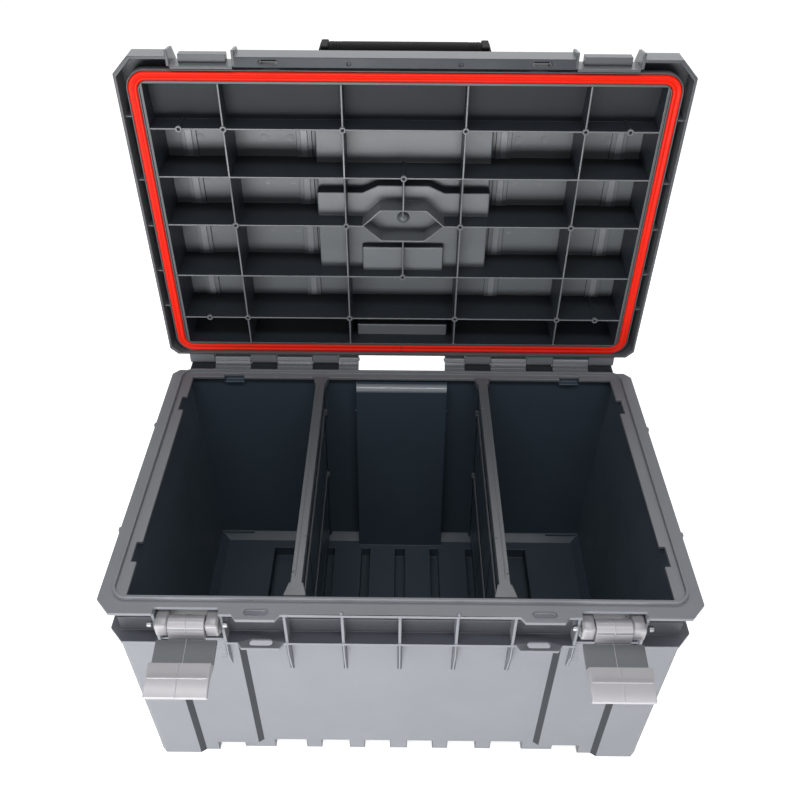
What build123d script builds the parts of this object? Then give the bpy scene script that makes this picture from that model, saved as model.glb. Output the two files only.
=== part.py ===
from build123d import *
import os

# Tool case: a deep moulded base with two lift-out dividers, a lid on two pinned hinges,
# two over-centre latches and a flip-over carry handle. The lid stands open at rest.
# Millimetres. Origin on the floor under the middle of the rim, +X right, +Y to the hinges, +Z up.

# Shared values
overrun = 4.0                # how far every cut runs past the face it opens
wall = 3.0                   # moulded wall of base and lid
running_clearance = 0.05     # radial play of a pin in its hole
side_clearance = 0.4         # play between pieces that slide or turn past each other
rest_gap = 0.3               # air between faces that only come close

# Rim: the bead that the lid's seal presses on
rim_height = 288.0           # bead top above the floor
seal_width = 556.0           # bead centre line, left to right
seal_depth = 345.0           # bead centre line, front to back
seal_corner = 15.0
bead_width = 3.0
bead_height = 4.0

# Upper flange around the rim
flange_thickness = 4.0
flange_side_reach = 13.6     # beyond the bead centre line
flange_front_reach = 17.0
flange_back_reach = 3.5
flange_chamfer_x = 14.7
flange_chamfer_y = 16.0
flange_back_chamfer = 8.0
bump_length = 5.0            # small stop on the flange's outer edge
bump_reach = 1.6
bump_behind_front = (86.0, 246.0)
peg_radius = 1.7             # locating peg on the front flange
peg_height = 2.2
peg_place = 56.0
peg_reach = 14.5             # in front of the bead

# Mouth of the tub and the ledge that overhangs its walls
mouth_side_inset = 14.0      # from bead centre line to the ledge edge
mouth_front_inset = 4.0
mouth_back_inset = 10.0
ledge_overhang = 7.0         # the side and back walls stand back by this under the ledge
notch_length = 25.0
notch_depth = 6.0
notch_side_places = (44.0, 272.0)   # start of each side notch behind the front bead
notch_front_inset = 72.0     # start of the front and back notches, in from the side bead
notch_back_inset = 78.0
notch_lip = 2.0              # small shelf that closes a back notch below
notch_shelf_drop = 12.0

# Tub: leaning walls, bevelled floor edge
floor_top = 20.0
bevel_height = 8.0
bevel_run = 11.0
side_lean = 18.0             # how far each side wall leans in from ledge to bevel
back_lean = 42.0
front_lean = 2.0
spine_half_width = 57.6      # hollow spine on the back wall
spine_depth = 16.0
spine_top_drop = 12.0        # below the bead top

# Front and corner relief below the lower flange
lower_flange_drop = 54.0     # its top below the bead top
lower_flange_thickness = 3.5
lower_flange_side_reach = 11.0
lower_flange_front_reach = 15.0
lower_flange_back_reach = 0.5
panel_reach = 5.0            # face of the centre panel in front of the bead
strip_reach = 9.0
column_reach = 13.0
strip_width = 62.2           # face between centre panel and column
band_width = 6.0             # sloped band between two faces
column_width = 49.3          # front face of a corner column
column_side_reach = 1.0      # outer face of a column beyond the side bead
column_corner = 6.0
column_depth = 58.0          # front column, front to back
rear_column_depth = 48.0
column_draft = 3.0
side_recess = 5.0            # side panel behind the columns
back_recess = 5.0
spine_recess = 8.0           # back panel drawn in behind the spine
rib_thickness = 3.0
rib_spacing = 55.5
ribs_each_way = 2            # belt ribs on each side of the middle one
rib_setback = 1.0            # rib edge behind the flange edge
gusset_straight_drop = 78.0  # gusset edge turns in here, below the bead top
gusset_end_drop = 115.0
belt_step = 2.0              # lower half of the belt wall stands forward by this
belt_step_drop = 34.0        # top of that step below the bead top

# Runners under the floor
runner_spans = ((39.0, 57.0), (89.0, 107.0), (143.0, 179.0))
centre_runner_half = 10.0
foot_inset = 70.0            # inner edge of a corner foot, in from the side bead

# Padlock ears
ear_inset = 141.0            # centre of an ear, in from the side bead
ear_width = 37.5
ear_reach = 22.8             # in front of the bead centre line
ear_slot_length = 23.0
ear_slot_width = 7.0
ear_slot_reach = 14.0
lower_ear_reach = 21.0

# Hinge
hinge_behind_seal = 19.2     # axis behind the back bead
hinge_above_rim = 3.0
knuckle_radius = 5.5
hinge_pin_radius = 2.5
knuckle_insets = (6.6, 38.5, 84.4, 118.1, 163.9, 197.0, 222.9)   # in from the side bead
arm_root = 2.5               # how deep a hinge arm runs into its wall

# Dividers
divider_place = 102.0
divider_thickness = 5.0
guide_thickness = 2.5
guide_depth = 6.0
guide_top_drop = 16.0
divider_top_drop = 2.5
divider_foot = 2.0           # foot between two guide ribs that the divider stands on
rail_width = 11.0
rail_height = 9.0
rail_front_width = 22.0
rail_front_length = 15.0
rail_back_width = 19.0
rail_back_length = 11.0
pane_margin = 26.0           # plain border round the thinned panes of a divider
pane_depth = 1.2
pane_count = 3
pane_gap = 10.0

# Lid
lid_height = 58.0            # roof above the bead top
skirt_drop = 3.0             # skirt edge below the bead top
lid_side_reach = 16.0        # beyond the bead centre line
lid_front_reach = 21.0
lid_back_reach = 8.5
lid_chamfer_x = 17.5
lid_chamfer_y = 18.0
lid_back_chamfer = 9.0
ledge_front_height = 18.0    # low ledge along the roof's front: its front edge
ledge_back_height = 31.0     # where the ledge meets the step up to the roof
ledge_back_place = 54.0      # foot of that step, behind the front bead
roof_front_place = 64.0      # top of that step
roof_side_run = 9.0          # chamfer along the roof's sides and back
roof_side_drop = 14.0
tray_side_inset = 10.0       # inner wall face, from the bead centre line
tray_front_inset = 8.0
tray_back_inset = 8.0
inner_wall = 3.0
seat_height = 6.0            # the seal's seat above the bead top
seat_thickness = 4.0
seal_band = 9.6              # seal's width
seal_play = 0.2
seal_crown = 1.6             # rounding of the seal's pressed edges
groove_lip = 1.6             # wall outside the seal
lid_rib_thickness = 2.0
lid_rib_edge = 2.0           # rib edges above the bead top
lid_rib_places = (56.3, 111.2, 170.5, 238.4, 299.2)
lid_middle_rib = 65.0        # long ribs: from the middle, and in from the side bead
lid_side_rib_inset = 87.0
skirt_tick_places = (43.0, 115.0, 172.0, 232.0, 282.0)
bar_back = 10.3              # back face of the thick front bar, in front of the bead
bar_height = 9.0
bar_slot_length = 19.0
bar_slot_width = 5.0
bar_slot_reach = 15.6
roof_groove_insets = (165.5, 36.0)   # middle of each groove, in from the side bead
roof_groove_width = 11.5
roof_groove_depth = 2.0
roof_groove_back = 330.0
hexagon_half = 45.0          # stiffening ring in the middle of the lid
hexagon_shoulder = 24.5
hexagon_front = 152.0
hexagon_back = 188.5
hub_radius = 7.0
hub_place = 171.0
post_radius = 2.6            # round posts on the rib crossings
post_inset = 40.0            # posts beside the side ribs, in from the side bead

# Latch pocket in lid and flange
latch_inset = 74.0           # middle of a latch, in from the side bead
pocket_half = 31.0
pocket_reach = 9.7           # pocket back face in front of the bead, base
lid_pocket_half = 31.5
lid_pocket_reach = 11.3
fin_thickness = 3.0
fin_reach = 27.5
fin_height = 30.0
catch_half = 24.0
catch_reach = 20.5
catch_low = 5.0
catch_high = 15.0

# Latch
latch_axis_reach = 16.0      # axis in front of the bead
latch_axis_drop = 22.0
barrel_radius = 9.0
latch_pin_radius = 3.0
barrel_half = 17.5
bracket_half = 30.5
bracket_plate = 3.0
bracket_low = 26.0           # plate below the axis
bracket_high = 12.5          # plate above the axis
cheek_back = 8.0             # half height of the square cheek
lever_half = 29.5
lever_length = 70.0
lever_droop = 10.0           # degrees below level when open
lever_outer = 11.0           # plate's outer face from the lever's centre line
lever_inner = 6.9            # plate's inner face
hook_start = 37.0
hook_top = 39.0
hook_end = 54.0
hook_rise = 3.5
tip_back = 5.0
facet_back = 3.0
plate_start = 12.0
screw_radius = 2.0
screw_length = 2.6
screw_head_radius = 3.8
screw_head_height = 1.8
screw_spread = 10.5
screw_below_axis = 18.0

# Carry handle and its recess
pivot_place = 103.0          # behind the front bead
pivot_height = 51.5          # above the bead top
handle_reach = 113.0         # pivot to the middle of the grip
handle_half = 93.0
arm_width = 14.0
arm_thickness = 10.0
eye_radius = 6.5
handle_lean = 3.8            # degrees that the resting arms dip to the front
grip_width = 22.0
grip_thickness = 20.0
grip_corner = 7.0
grip_core_radius = 6.0
grip_end_gap = 1.0
arm_shoulder = 18.0          # slanted outer corner of the handle, along the arm
arm_shoulder_in = 6.0
handle_pin_radius = 3.0
lug_width = 12.5
lug_half = 7.5
recess_half = 96.0
recess_floor = 43.0
recess_step = 143.0          # the deeper grip well starts here
well_floor = 29.0
well_nose = 134.0            # the well runs forward to here in the middle
well_nose_half = 26.0
well_nose_base = 44.0
recess_back = 250.0
recess_lip_back = 262.0      # shallow lip behind the recess
recess_lip_floor = 52.0
finger_half = 45.0
finger_front = 209.0
finger_back = 239.0
finger_floor = 20.0
rear_half = 54.0             # grip recess at the back of the roof
rear_front = 324.0
rear_back = 334.0
rear_floor = 24.0


# Places worked out from the sizes above
def behind(distance):
    """Y of a place at this distance behind the front bead."""
    return distance - seal_depth / 2


def above(height):
    """Z of a place at this height above the bead top."""
    return rim_height + height


flange_top = above(-bead_height)
flange_bottom = flange_top - flange_thickness
lower_top = above(-lower_flange_drop)
lower_bottom = lower_top - lower_flange_thickness
bevel_top = floor_top + bevel_height
floor_bottom = floor_top - wall
seal_half = seal_width / 2
column_half = seal_half + column_side_reach
strip_half = column_half - column_width - band_width
panel_half = strip_half - strip_width - band_width
latch_place = seal_half - latch_inset
ear_centre = seal_half - ear_inset
foot_inner = seal_half - foot_inset
knuckle_ends = [seal_half - inset for inset in knuckle_insets]
lid_long_rib_places = (lid_middle_rib, seal_half - lid_side_rib_inset)
mouth_half = seal_half - mouth_side_inset
mouth_front = behind(mouth_front_inset)
mouth_back = behind(seal_depth - mouth_back_inset)
wall_half = mouth_half + ledge_overhang
wall_back = mouth_back + ledge_overhang
hinge_y = behind(seal_depth + hinge_behind_seal)
hinge_z = above(hinge_above_rim)
latch_y = behind(-latch_axis_reach)
latch_z = above(-latch_axis_drop)
pivot_y = behind(pivot_place)
pivot_z = above(pivot_height)
arm_inner = handle_half - arm_width
lid_back = behind(seal_depth + lid_back_reach)


# Building blocks
def block(x_span, y_span, z_span):
    """A box between a low and a high value on each axis."""
    spans = (x_span, y_span, z_span)
    middle = [(low + high) / 2 for low, high in spans]
    return Pos(*middle) * Box(*[high - low for low, high in spans])


def plan(points, z_span):
    """An (x, y) outline carried upward."""
    face = make_face(Polyline(*points, close=True))
    return extrude(Pos(0, 0, z_span[0]) * face, amount=z_span[1] - z_span[0], dir=(0, 0, 1))


def prism_x(points, x_span):
    """A (y, z) outline carried along X."""
    face = make_face(Polyline(*[(0, y, z) for y, z in points], close=True))
    return extrude(Pos(x_span[0], 0, 0) * face, amount=x_span[1] - x_span[0], dir=(1, 0, 0))


def prism_y(points, y_span):
    """An (x, z) outline carried along Y."""
    face = make_face(Polyline(*[(x, 0, z) for x, z in points], close=True))
    return extrude(Pos(0, y_span[0], 0) * face, amount=y_span[1] - y_span[0], dir=(0, 1, 0))


def rod_x(radius, x_span, y, z):
    """A round bar along X."""
    middle = (x_span[0] + x_span[1]) / 2
    return Pos(middle, y, z) * Rot(0, 90, 0) * Cylinder(radius, x_span[1] - x_span[0])


def stack(sections):
    """A flat-faced solid through (outline, height) sections of equal point count."""
    faces = [Pos(0, 0, z) * make_face(Polyline(*points, close=True)) for points, z in sections]
    return loft(faces, ruled=True)


def rectangle(half, front, back):
    """The four (x, y) corners of a plan rectangle that is centred on X."""
    return [(-half, front), (half, front), (half, back), (-half, back)]


def seal_loop(width, z_span):
    """A band of this width along the bead's rounded centre line."""
    outer = RectangleRounded(seal_width + width, seal_depth + width, seal_corner + width / 2)
    inner = RectangleRounded(seal_width - width, seal_depth - width, seal_corner - width / 2)
    return extrude(Pos(0, 0, z_span[0]) * (outer - inner), amount=z_span[1] - z_span[0], dir=(0, 0, 1))


def both(shape):
    """The shape and its mirror image on the other side of the case."""
    return shape + mirror(shape, about=Plane.YZ)


def chamfered(half, front, back, cut_x, cut_y, back_cut):
    """A plan outline with slanted front and back corners."""
    right = [
        (half - cut_x, front),
        (half, front + cut_y),
        (half, back - back_cut),
        (half - back_cut, back),
    ]
    return right + [(-x, y) for x, y in reversed(right)]


# Base
def back_face(z):
    """Y of the inner back wall at this height."""
    share = (flange_bottom - z) / (flange_bottom - bevel_top)
    return wall_back - back_lean * share


def tub(grow):
    """The leaning inner space of the base, grown outward."""
    low_half = wall_half - side_lean + grow
    low_front = mouth_front + front_lean - grow
    low_back = wall_back - back_lean + grow
    floor = rectangle(low_half - bevel_run, low_front + bevel_run, low_back - bevel_run)
    low = rectangle(low_half, low_front, low_back)
    high = rectangle(wall_half + grow, mouth_front - grow, wall_back + grow)
    return stack([(floor, floor_top - grow), (low, bevel_top), (high, flange_bottom)])


def spine(grow):
    """The hollow spine on the back wall: the outer face at grow 0, its hollow at minus the wall."""
    top = above(-spine_top_drop) + grow
    face = spine_depth + grow
    points = [
        (back_face(top) - face, top),
        (back_face(top) + wall + overrun, top),
        (back_face(-overrun) + wall + overrun, -overrun),
        (back_face(-overrun) - face, -overrun),
    ]
    half = spine_half_width + grow
    return prism_x(points, (-half, half))


def skin_outline(shift):
    """The stepped plan of the outer skin, drawn in by the draft or the wall."""
    side = column_half - shift
    back = behind(seal_depth + lower_flange_back_reach) - shift
    side_front = behind(column_depth - column_reach)
    side_back = behind(seal_depth - rear_column_depth)
    panel, strip, column = [behind(-reach) + shift for reach in (panel_reach, strip_reach, column_reach)]
    right = [
        (panel_half, panel),
        (panel_half + band_width, strip),
        (strip_half, strip),
        (strip_half + band_width, column),
        (side - column_corner, column),
        (side, column + column_corner),
        (side, side_front),
        (side - side_recess, side_front + band_width),
        (side - side_recess, side_back - band_width),
        (side, side_back),
        (side, back - column_corner),
        (side - column_corner, back),
        (strip_half + band_width, back),
        (strip_half, back - back_recess),
        (spine_half_width + band_width, back - back_recess),
        (spine_half_width, back - back_recess - spine_recess),
    ]
    return right + [(-x, y) for x, y in reversed(right)]


def skin():
    """The outer skin from the floor edge to the lower flange, open below, on four corner feet."""
    low, high = floor_bottom, lower_bottom
    shell = stack([(skin_outline(column_draft), low), (skin_outline(0), high)])
    shell -= stack([(skin_outline(column_draft + wall), low - overrun), (skin_outline(wall), high)])
    side = column_half - column_draft
    front = behind(-column_reach) + column_draft
    back = behind(seal_depth + lower_flange_back_reach) - column_draft
    level = (0, bevel_top)
    front_foot = block((foot_inner, side), (front, behind(column_depth - column_reach)), level)
    rear_foot = block((foot_inner, side), (behind(seal_depth - rear_column_depth), back), level)
    return shell + (both(front_foot + rear_foot) & plan(skin_outline(column_draft), level))


def runners():
    """The hollow runners under the floor, and the grooves that they leave inside."""
    front = behind(-panel_reach) + column_draft
    back = back_face(bevel_top) - bevel_run
    groove_front = mouth_front + front_lean + bevel_run
    groove_back = back_face(0) - spine_depth - wall
    spans = [(-centre_runner_half, centre_runner_half)]
    for low, high in runner_spans:
        spans += [(low, high), (-high, -low)]
    bars = [block(span, (front, back), (0, floor_top)) for span in spans]
    grooves = []
    for low, high in spans:
        inside = (low + wall, high - wall)
        grooves.append(block(inside, (groove_front, groove_back), (wall, floor_top + overrun)))
    return Part() + bars, Part() + grooves


def belt():
    """The lower flange, with the ribs between the two flanges and the gussets under the lower one."""
    front = behind(-lower_flange_front_reach)
    back = behind(seal_depth + lower_flange_back_reach)
    half = seal_half + lower_flange_side_reach
    outline = chamfered(half, front, back, flange_chamfer_x, flange_chamfer_y, flange_back_chamfer)
    ring = plan(outline, (lower_bottom, lower_top))
    rib_front = front + rib_setback
    panel_face = behind(-panel_reach)
    level = (lower_bottom, flange_bottom)
    gusset = [
        (mouth_front, lower_bottom),
        (rib_front, lower_bottom),
        (rib_front, above(-gusset_straight_drop)),
        (panel_face, above(-gusset_end_drop)),
        (mouth_front, above(-gusset_end_drop)),
    ]

    def rib_span(place):
        """The thickness of a rib that stands at this place."""
        return (place - rib_thickness / 2, place + rib_thickness / 2)

    latch_edge = pocket_half + rib_thickness / 2
    inner_edge, outer_edge = latch_place - latch_edge, latch_place + latch_edge
    ribs = [both(block(rib_span(outer_edge), (rib_front, mouth_front), level))]
    places = [step * rib_spacing for step in range(-ribs_each_way, ribs_each_way + 1)]
    for place in places:
        ribs.append(both(block((mouth_half, half - rib_setback), rib_span(place), level)))
    for place in places + [-inner_edge, inner_edge]:
        ribs.append(block(rib_span(place), (rib_front, mouth_front), level))
        ribs.append(prism_x(gusset, rib_span(place)))
    step_y = (mouth_front - wall - belt_step, mouth_front)
    step_z = (lower_bottom, above(-belt_step_drop))
    step = block((-inner_edge, inner_edge), step_y, step_z)
    step += both(block((outer_edge, seal_half), step_y, step_z))
    return Part() + ring + step + ribs


def flange():
    """The upper flange with its bead, small stops, pegs and padlock ears."""
    front = behind(-flange_front_reach)
    back = behind(seal_depth + flange_back_reach)
    half = seal_half + flange_side_reach
    outline = chamfered(half, front, back, flange_chamfer_x, flange_chamfer_y, flange_back_chamfer)
    level = (flange_bottom, flange_top)
    plate = plan(outline, level) + seal_loop(bead_width, (flange_top, rim_height))
    for place in bump_behind_front:
        y_span = (behind(place) - bump_length / 2, behind(place) + bump_length / 2)
        plate += both(block((half - bump_reach, half + bump_reach), y_span, level))
    plate += peg(0)
    return plate + ear(ear_reach, level) + ear(lower_ear_reach, (lower_bottom, lower_top))


def peg(grow):
    """The two locating pegs on the front flange, or with grow the sockets that they need."""
    tall = peg_height + grow
    place = Pos(peg_place, behind(-peg_reach), flange_top + tall / 2)
    return both(place * Cylinder(peg_radius + grow, tall))


def ear(reach, level):
    """A padlock ear on each side, tapering to its front edge."""
    root = behind(-lower_flange_front_reach) + wall
    taper = reach - lower_flange_front_reach
    points = [
        (ear_centre - ear_width / 2 - taper, root),
        (ear_centre - ear_width / 2, behind(-reach)),
        (ear_centre + ear_width / 2, behind(-reach)),
        (ear_centre + ear_width / 2 + taper, root),
    ]
    return both(plan(points, level))


def ear_slots():
    """The padlock slots through both flanges."""
    slot = SlotOverall(ear_slot_length, ear_slot_width)
    tall = flange_top - lower_bottom + 2 * overrun
    place = Pos(ear_centre, behind(-ear_slot_reach), lower_bottom - overrun)
    return both(extrude(place * slot, amount=tall, dir=(0, 0, 1)))


def notch_span(inset):
    """X span of a front or back notch that starts this far in from the side bead."""
    return (seal_half - inset, seal_half - inset + notch_length)


def ledge_notches():
    """Cuts in the ledge that hold hang-in trays."""
    level = (flange_bottom - overrun, flange_top + overrun)
    cuts = Part()
    for place in notch_side_places:
        y_span = (behind(place), behind(place + notch_length))
        cuts += both(block((mouth_half - overrun, mouth_half + notch_depth), y_span, level))
    back_x = notch_span(notch_back_inset)
    cuts += both(block(back_x, (mouth_back - overrun, mouth_back + notch_depth), level))
    front_x = notch_span(notch_front_inset)
    front_y = (mouth_front - notch_lip, mouth_front + overrun)
    cuts += both(block(front_x, front_y, (above(-notch_shelf_drop), flange_top + overrun)))
    return cuts


def notch_shelves():
    """The small shelves under the back notches."""
    z_span = (above(-notch_shelf_drop) - notch_lip, above(-notch_shelf_drop))
    return both(block(notch_span(notch_back_inset), (mouth_back, wall_back + wall / 2), z_span))


def divider_guides():
    """Rib pairs on the front and back walls that the dividers slide between, each closed by a foot."""
    inside = divider_thickness / 2 + side_clearance
    outside = inside + guide_thickness
    front_y = (mouth_front - wall / 2, mouth_front + front_lean + guide_depth)

    def pair(x_span, top):
        """A front and a back rib from the floor bevel up to this height."""
        back_points = [
            (back_face(top) + wall / 2, top),
            (back_face(top) - guide_depth, top),
            (back_face(bevel_top) - guide_depth, bevel_top),
            (back_face(bevel_top) + wall / 2, bevel_top),
        ]
        return both(block(x_span, front_y, (bevel_top, top)) + prism_x(back_points, x_span))

    high = above(-guide_top_drop)
    guides = pair((divider_place - outside, divider_place - inside), high)
    guides += pair((divider_place + inside, divider_place + outside), high)
    return guides + pair((divider_place - outside, divider_place + outside), bevel_top + divider_foot)


def latch_pockets():
    """Room for the latches in front of both flanges."""
    x_span = (latch_place - pocket_half, latch_place + pocket_half)
    front = behind(-ear_reach) - overrun
    cut = block(x_span, (front, behind(-pocket_reach)), (lower_bottom - overrun, flange_top + overrun))
    return both(cut)


def hinge_arm(points, x_span):
    """One hinge knuckle on its arm, bored for the pin."""
    inside = (x_span[0] + side_clearance / 2, x_span[1] - side_clearance / 2)
    arm = prism_x(points, inside) + rod_x(knuckle_radius, inside, hinge_y, hinge_z)
    bored = (x_span[0] - overrun, x_span[1] + overrun)
    return arm - rod_x(hinge_pin_radius + running_clearance, bored, hinge_y, hinge_z)


def knuckle_spans(first):
    """X spans of every other knuckle, counted from the outside."""
    places = range(first, len(knuckle_ends) - 1, 2)
    return [(knuckle_ends[i + 1], knuckle_ends[i]) for i in places]


def base_knuckles():
    """The base's hinge knuckles on arms from the back of the flange."""
    root = behind(seal_depth + flange_back_reach) - arm_root
    points = [
        (root, flange_bottom),
        (root, flange_top),
        (hinge_y - knuckle_radius - arm_root, flange_top),
        (hinge_y - knuckle_radius, hinge_z),
        (hinge_y, hinge_z),
        (hinge_y, hinge_z - knuckle_radius),
        (hinge_y - arm_root, flange_bottom),
    ]
    return both(Part() + [hinge_arm(points, span) for span in knuckle_spans(1)])


def base_shell():
    """The moulded base."""
    bars, grooves = runners()
    mouth_z = (flange_bottom - wall, rim_height + overrun)
    rings = belt() + flange() - tub(0) - plan(rectangle(mouth_half, mouth_front, mouth_back), mouth_z)
    walls = tub(wall) - (tub(0) - spine(0)) - spine(-wall)
    body = skin() + rings + walls + bars
    body -= grooves
    body -= ledge_notches()
    body -= ear_slots()
    body -= latch_pockets()
    body += notch_shelves() + divider_guides() + base_knuckles()
    return body - screw_holes()


# Dividers
def divider_panel():
    """The right divider board, thinned into panes."""
    top = above(-divider_top_drop) - rail_height
    low = bevel_top + divider_foot
    front = mouth_front + front_lean + side_clearance
    back = mouth_back - side_clearance
    turn = flange_bottom - (flange_bottom - bevel_top) * ledge_overhang / back_lean
    half = divider_thickness / 2
    outline = [
        (front, low),
        (front, top),
        (back, top),
        (back, turn),
        (back_face(low) - side_clearance, low),
    ]
    board = prism_x(outline, (divider_place - half, divider_place + half))
    rail_z = (above(-divider_top_drop) - rail_height, above(-divider_top_drop))
    pane_low = low + pane_margin
    pane_high = top - pane_margin
    room = back_face(pane_low) - front - 2 * pane_margin
    pane_length = (room - (pane_count - 1) * pane_gap) / pane_count
    for index in range(pane_count):
        start = front + pane_margin + index * (pane_length + pane_gap)
        for side in (-1, 1):
            face = divider_place + side * half
            pane = (face - pane_depth, face + pane_depth)
            board -= block(pane, (start, start + pane_length), (pane_low, pane_high))
    return board, rail_z


def divider_rail(rail_z):
    """The cap rail along the right divider's top edge, wider at both ends."""
    front = mouth_front + side_clearance
    back = mouth_back - side_clearance

    def bar(width, y_span):
        """A stretch of rail."""
        return block((divider_place - width / 2, divider_place + width / 2), y_span, rail_z)

    rail = bar(rail_width, (front, back))
    rail += bar(rail_front_width, (front, front + rail_front_length))
    rail += bar(rail_back_width, (back - rail_back_length, back))
    return rail


# Latch, drawn on the right side
def screw_places():
    """X and Z of the two screws that hold a latch bracket."""
    z = latch_z - screw_below_axis
    return [(latch_place - screw_spread, z), (latch_place + screw_spread, z)]


def rod_y(radius, y_span, x, z):
    """A round bar along Y."""
    middle = (y_span[0] + y_span[1]) / 2
    return Pos(x, middle, z) * Rot(90, 0, 0) * Cylinder(radius, y_span[1] - y_span[0])


def screw_holes():
    """Holes in the base wall for the bracket screws."""
    face = mouth_front - wall
    holes = Part()
    for x, z in screw_places():
        holes += both(rod_y(screw_radius, (face - overrun, face + screw_length), x, z))
    return holes


def latch_bracket():
    """The fixed bracket: a back plate with two square cheeks bored for the pin."""
    face = mouth_front - wall
    front = face - bracket_plate
    x_span = (latch_place - bracket_half, latch_place + bracket_half)
    plate = block(x_span, (front, face), (latch_z - bracket_low, latch_z + bracket_high))
    gap = barrel_half + side_clearance
    cheeks = Part()
    for low, high in ((-bracket_half, -gap), (gap, bracket_half)):
        points = [
            (front, latch_z + cheek_back),
            (latch_y - cheek_back, latch_z + cheek_back),
            (latch_y - cheek_back, latch_z - cheek_back),
            (front, latch_z - bracket_low),
        ]
        cheeks += prism_x(points, (latch_place + low, latch_place + high))
    bored = (latch_place - bracket_half - overrun, latch_place + bracket_half + overrun)
    bracket = plate + cheeks - rod_x(latch_pin_radius + running_clearance, bored, latch_y, latch_z)
    for x, z in screw_places():
        bracket -= rod_y(screw_radius + running_clearance, (front - overrun, face + overrun), x, z)
    return bracket


def latch_pin():
    """The pin across the bracket's cheeks."""
    x_span = (latch_place - bracket_half, latch_place + bracket_half)
    return rod_x(latch_pin_radius, x_span, latch_y, latch_z)


def latch_screws():
    """The two pan-head screws of one bracket."""
    face = mouth_front - wall
    front = face - bracket_plate
    screws = Part()
    for x, z in screw_places():
        shank = rod_y(screw_radius - running_clearance, (front, face + screw_length - rest_gap), x, z)
        head = rod_y(screw_head_radius, (front - screw_head_height, front), x, z)
        screws += shank + head
    return screws


def latch_lever():
    """The lever as it hangs open: barrel, plate, hook step and finger tip."""
    outline = [
        (0, -barrel_radius),
        (plate_start, -lever_outer),
        (hook_start, -lever_outer),
        (hook_end, -facet_back),
        (lever_length, -tip_back),
        (lever_length, 0),
        (hook_end, hook_rise),
        (hook_top, hook_rise),
        (hook_start, -lever_inner),
        (plate_start, -lever_inner),
        (barrel_radius, 0),
        (0, 0),
    ]

    def piece(points, half):
        """A stretch of lever; along runs forward from the axis, rise towards the lid when shut."""
        flipped = [(-along, rise) for along, rise in points]
        return prism_x(flipped, (-half, half))

    neck = outline[0:2] + [(hook_start, -lever_outer), (hook_start, -lever_inner)] + outline[9:]
    plate = [(barrel_radius + rest_gap + wall, -lever_outer)] + outline[2:9]
    plate += [(barrel_radius + rest_gap + wall, -lever_inner)]
    lever = piece(neck, barrel_half) + piece(plate, lever_half)
    lever += rod_x(barrel_radius, (-barrel_half, barrel_half), 0, 0)
    lever -= rod_x(latch_pin_radius + running_clearance, (-lever_half - overrun, lever_half + overrun), 0, 0)
    return Pos(latch_place, latch_y, latch_z) * Rot(lever_droop, 0, 0) * lever


# Lid, drawn shut and swung open for export
def lid_side_profile(sink, ahead):
    """The lid's (y, z) outline with its ledge and step, lowered by sink and moved out by ahead."""
    front = behind(-lid_front_reach) - ahead
    back = lid_back + ahead
    return [
        (front, above(-skirt_drop) - ahead),
        (front, above(ledge_front_height - sink)),
        (behind(ledge_back_place) + sink, above(ledge_back_height - sink)),
        (behind(roof_front_place) + sink, above(lid_height - sink)),
        (back - roof_side_run, above(lid_height - sink)),
        (back, above(lid_height - roof_side_drop - sink)),
        (back, above(-skirt_drop) - ahead),
    ]


def lid_cross_profile(sink, ahead):
    """The lid's (x, z) outline with chamfered roof edges."""
    half = seal_half + lid_side_reach + ahead
    right = [
        (half, above(-skirt_drop) - ahead),
        (half, above(lid_height - roof_side_drop - sink)),
        (half - roof_side_run, above(lid_height - sink)),
    ]
    return right + [(-x, z) for x, z in reversed(right)]


def lid_form(inset, sink, low):
    """The lid's outer form drawn in by inset, its roof lowered by sink, from the height low upward."""
    half = seal_half + lid_side_reach - inset
    front = behind(-lid_front_reach) + inset
    back = lid_back - inset
    outline = chamfered(half, front, back, lid_chamfer_x, lid_chamfer_y, lid_back_chamfer)
    form = plan(outline, (low, above(lid_height) + overrun))
    form &= prism_x(lid_side_profile(sink, overrun), (-half - overrun, half + overrun))
    return form & prism_y(lid_cross_profile(sink, overrun), (front - overrun, back + overrun))


def tray(grow, low, high):
    """The open space inside the lid's inner wall, grown outward."""
    half = seal_half - tray_side_inset + grow
    front = behind(tray_front_inset) - grow
    back = behind(seal_depth - tray_back_inset) + grow
    return plan(rectangle(half, front, back), (low, high))


def handle_recess(grow):
    """The stepped recess in the roof that takes the folded handle, open to the ledge, grown outward."""
    top = above(lid_height) + overrun
    half = recess_half + grow
    front, back = behind(ledge_back_place) - grow, behind(recess_back) + grow
    recess = block((-half, half), (front, back), (above(recess_floor) - grow, top))
    lip_y = (front, behind(recess_lip_back) + grow)
    recess += block((-half, half), lip_y, (above(recess_lip_floor) - grow, top))
    step, nose = behind(recess_step) - grow, behind(well_nose) - grow
    right = [(half, back), (half, step), (well_nose_base + grow, step), (well_nose_half + grow, nose)]
    well = right + [(-x, y) for x, y in reversed(right)]
    recess += plan(well, (above(well_floor) - grow, top))
    finger_x = (-finger_half - grow, finger_half + grow)
    finger_y = (behind(finger_front) - grow, behind(finger_back) + grow)
    return recess + block(finger_x, finger_y, (above(finger_floor) - grow, top))


def rear_recess(grow):
    """The grip recess at the back of the roof, grown outward."""
    half = rear_half + grow
    y_span = (behind(rear_front) - grow, behind(rear_back) + grow)
    return block((-half, half), y_span, (above(rear_floor) - grow, above(lid_height) + overrun))


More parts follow.
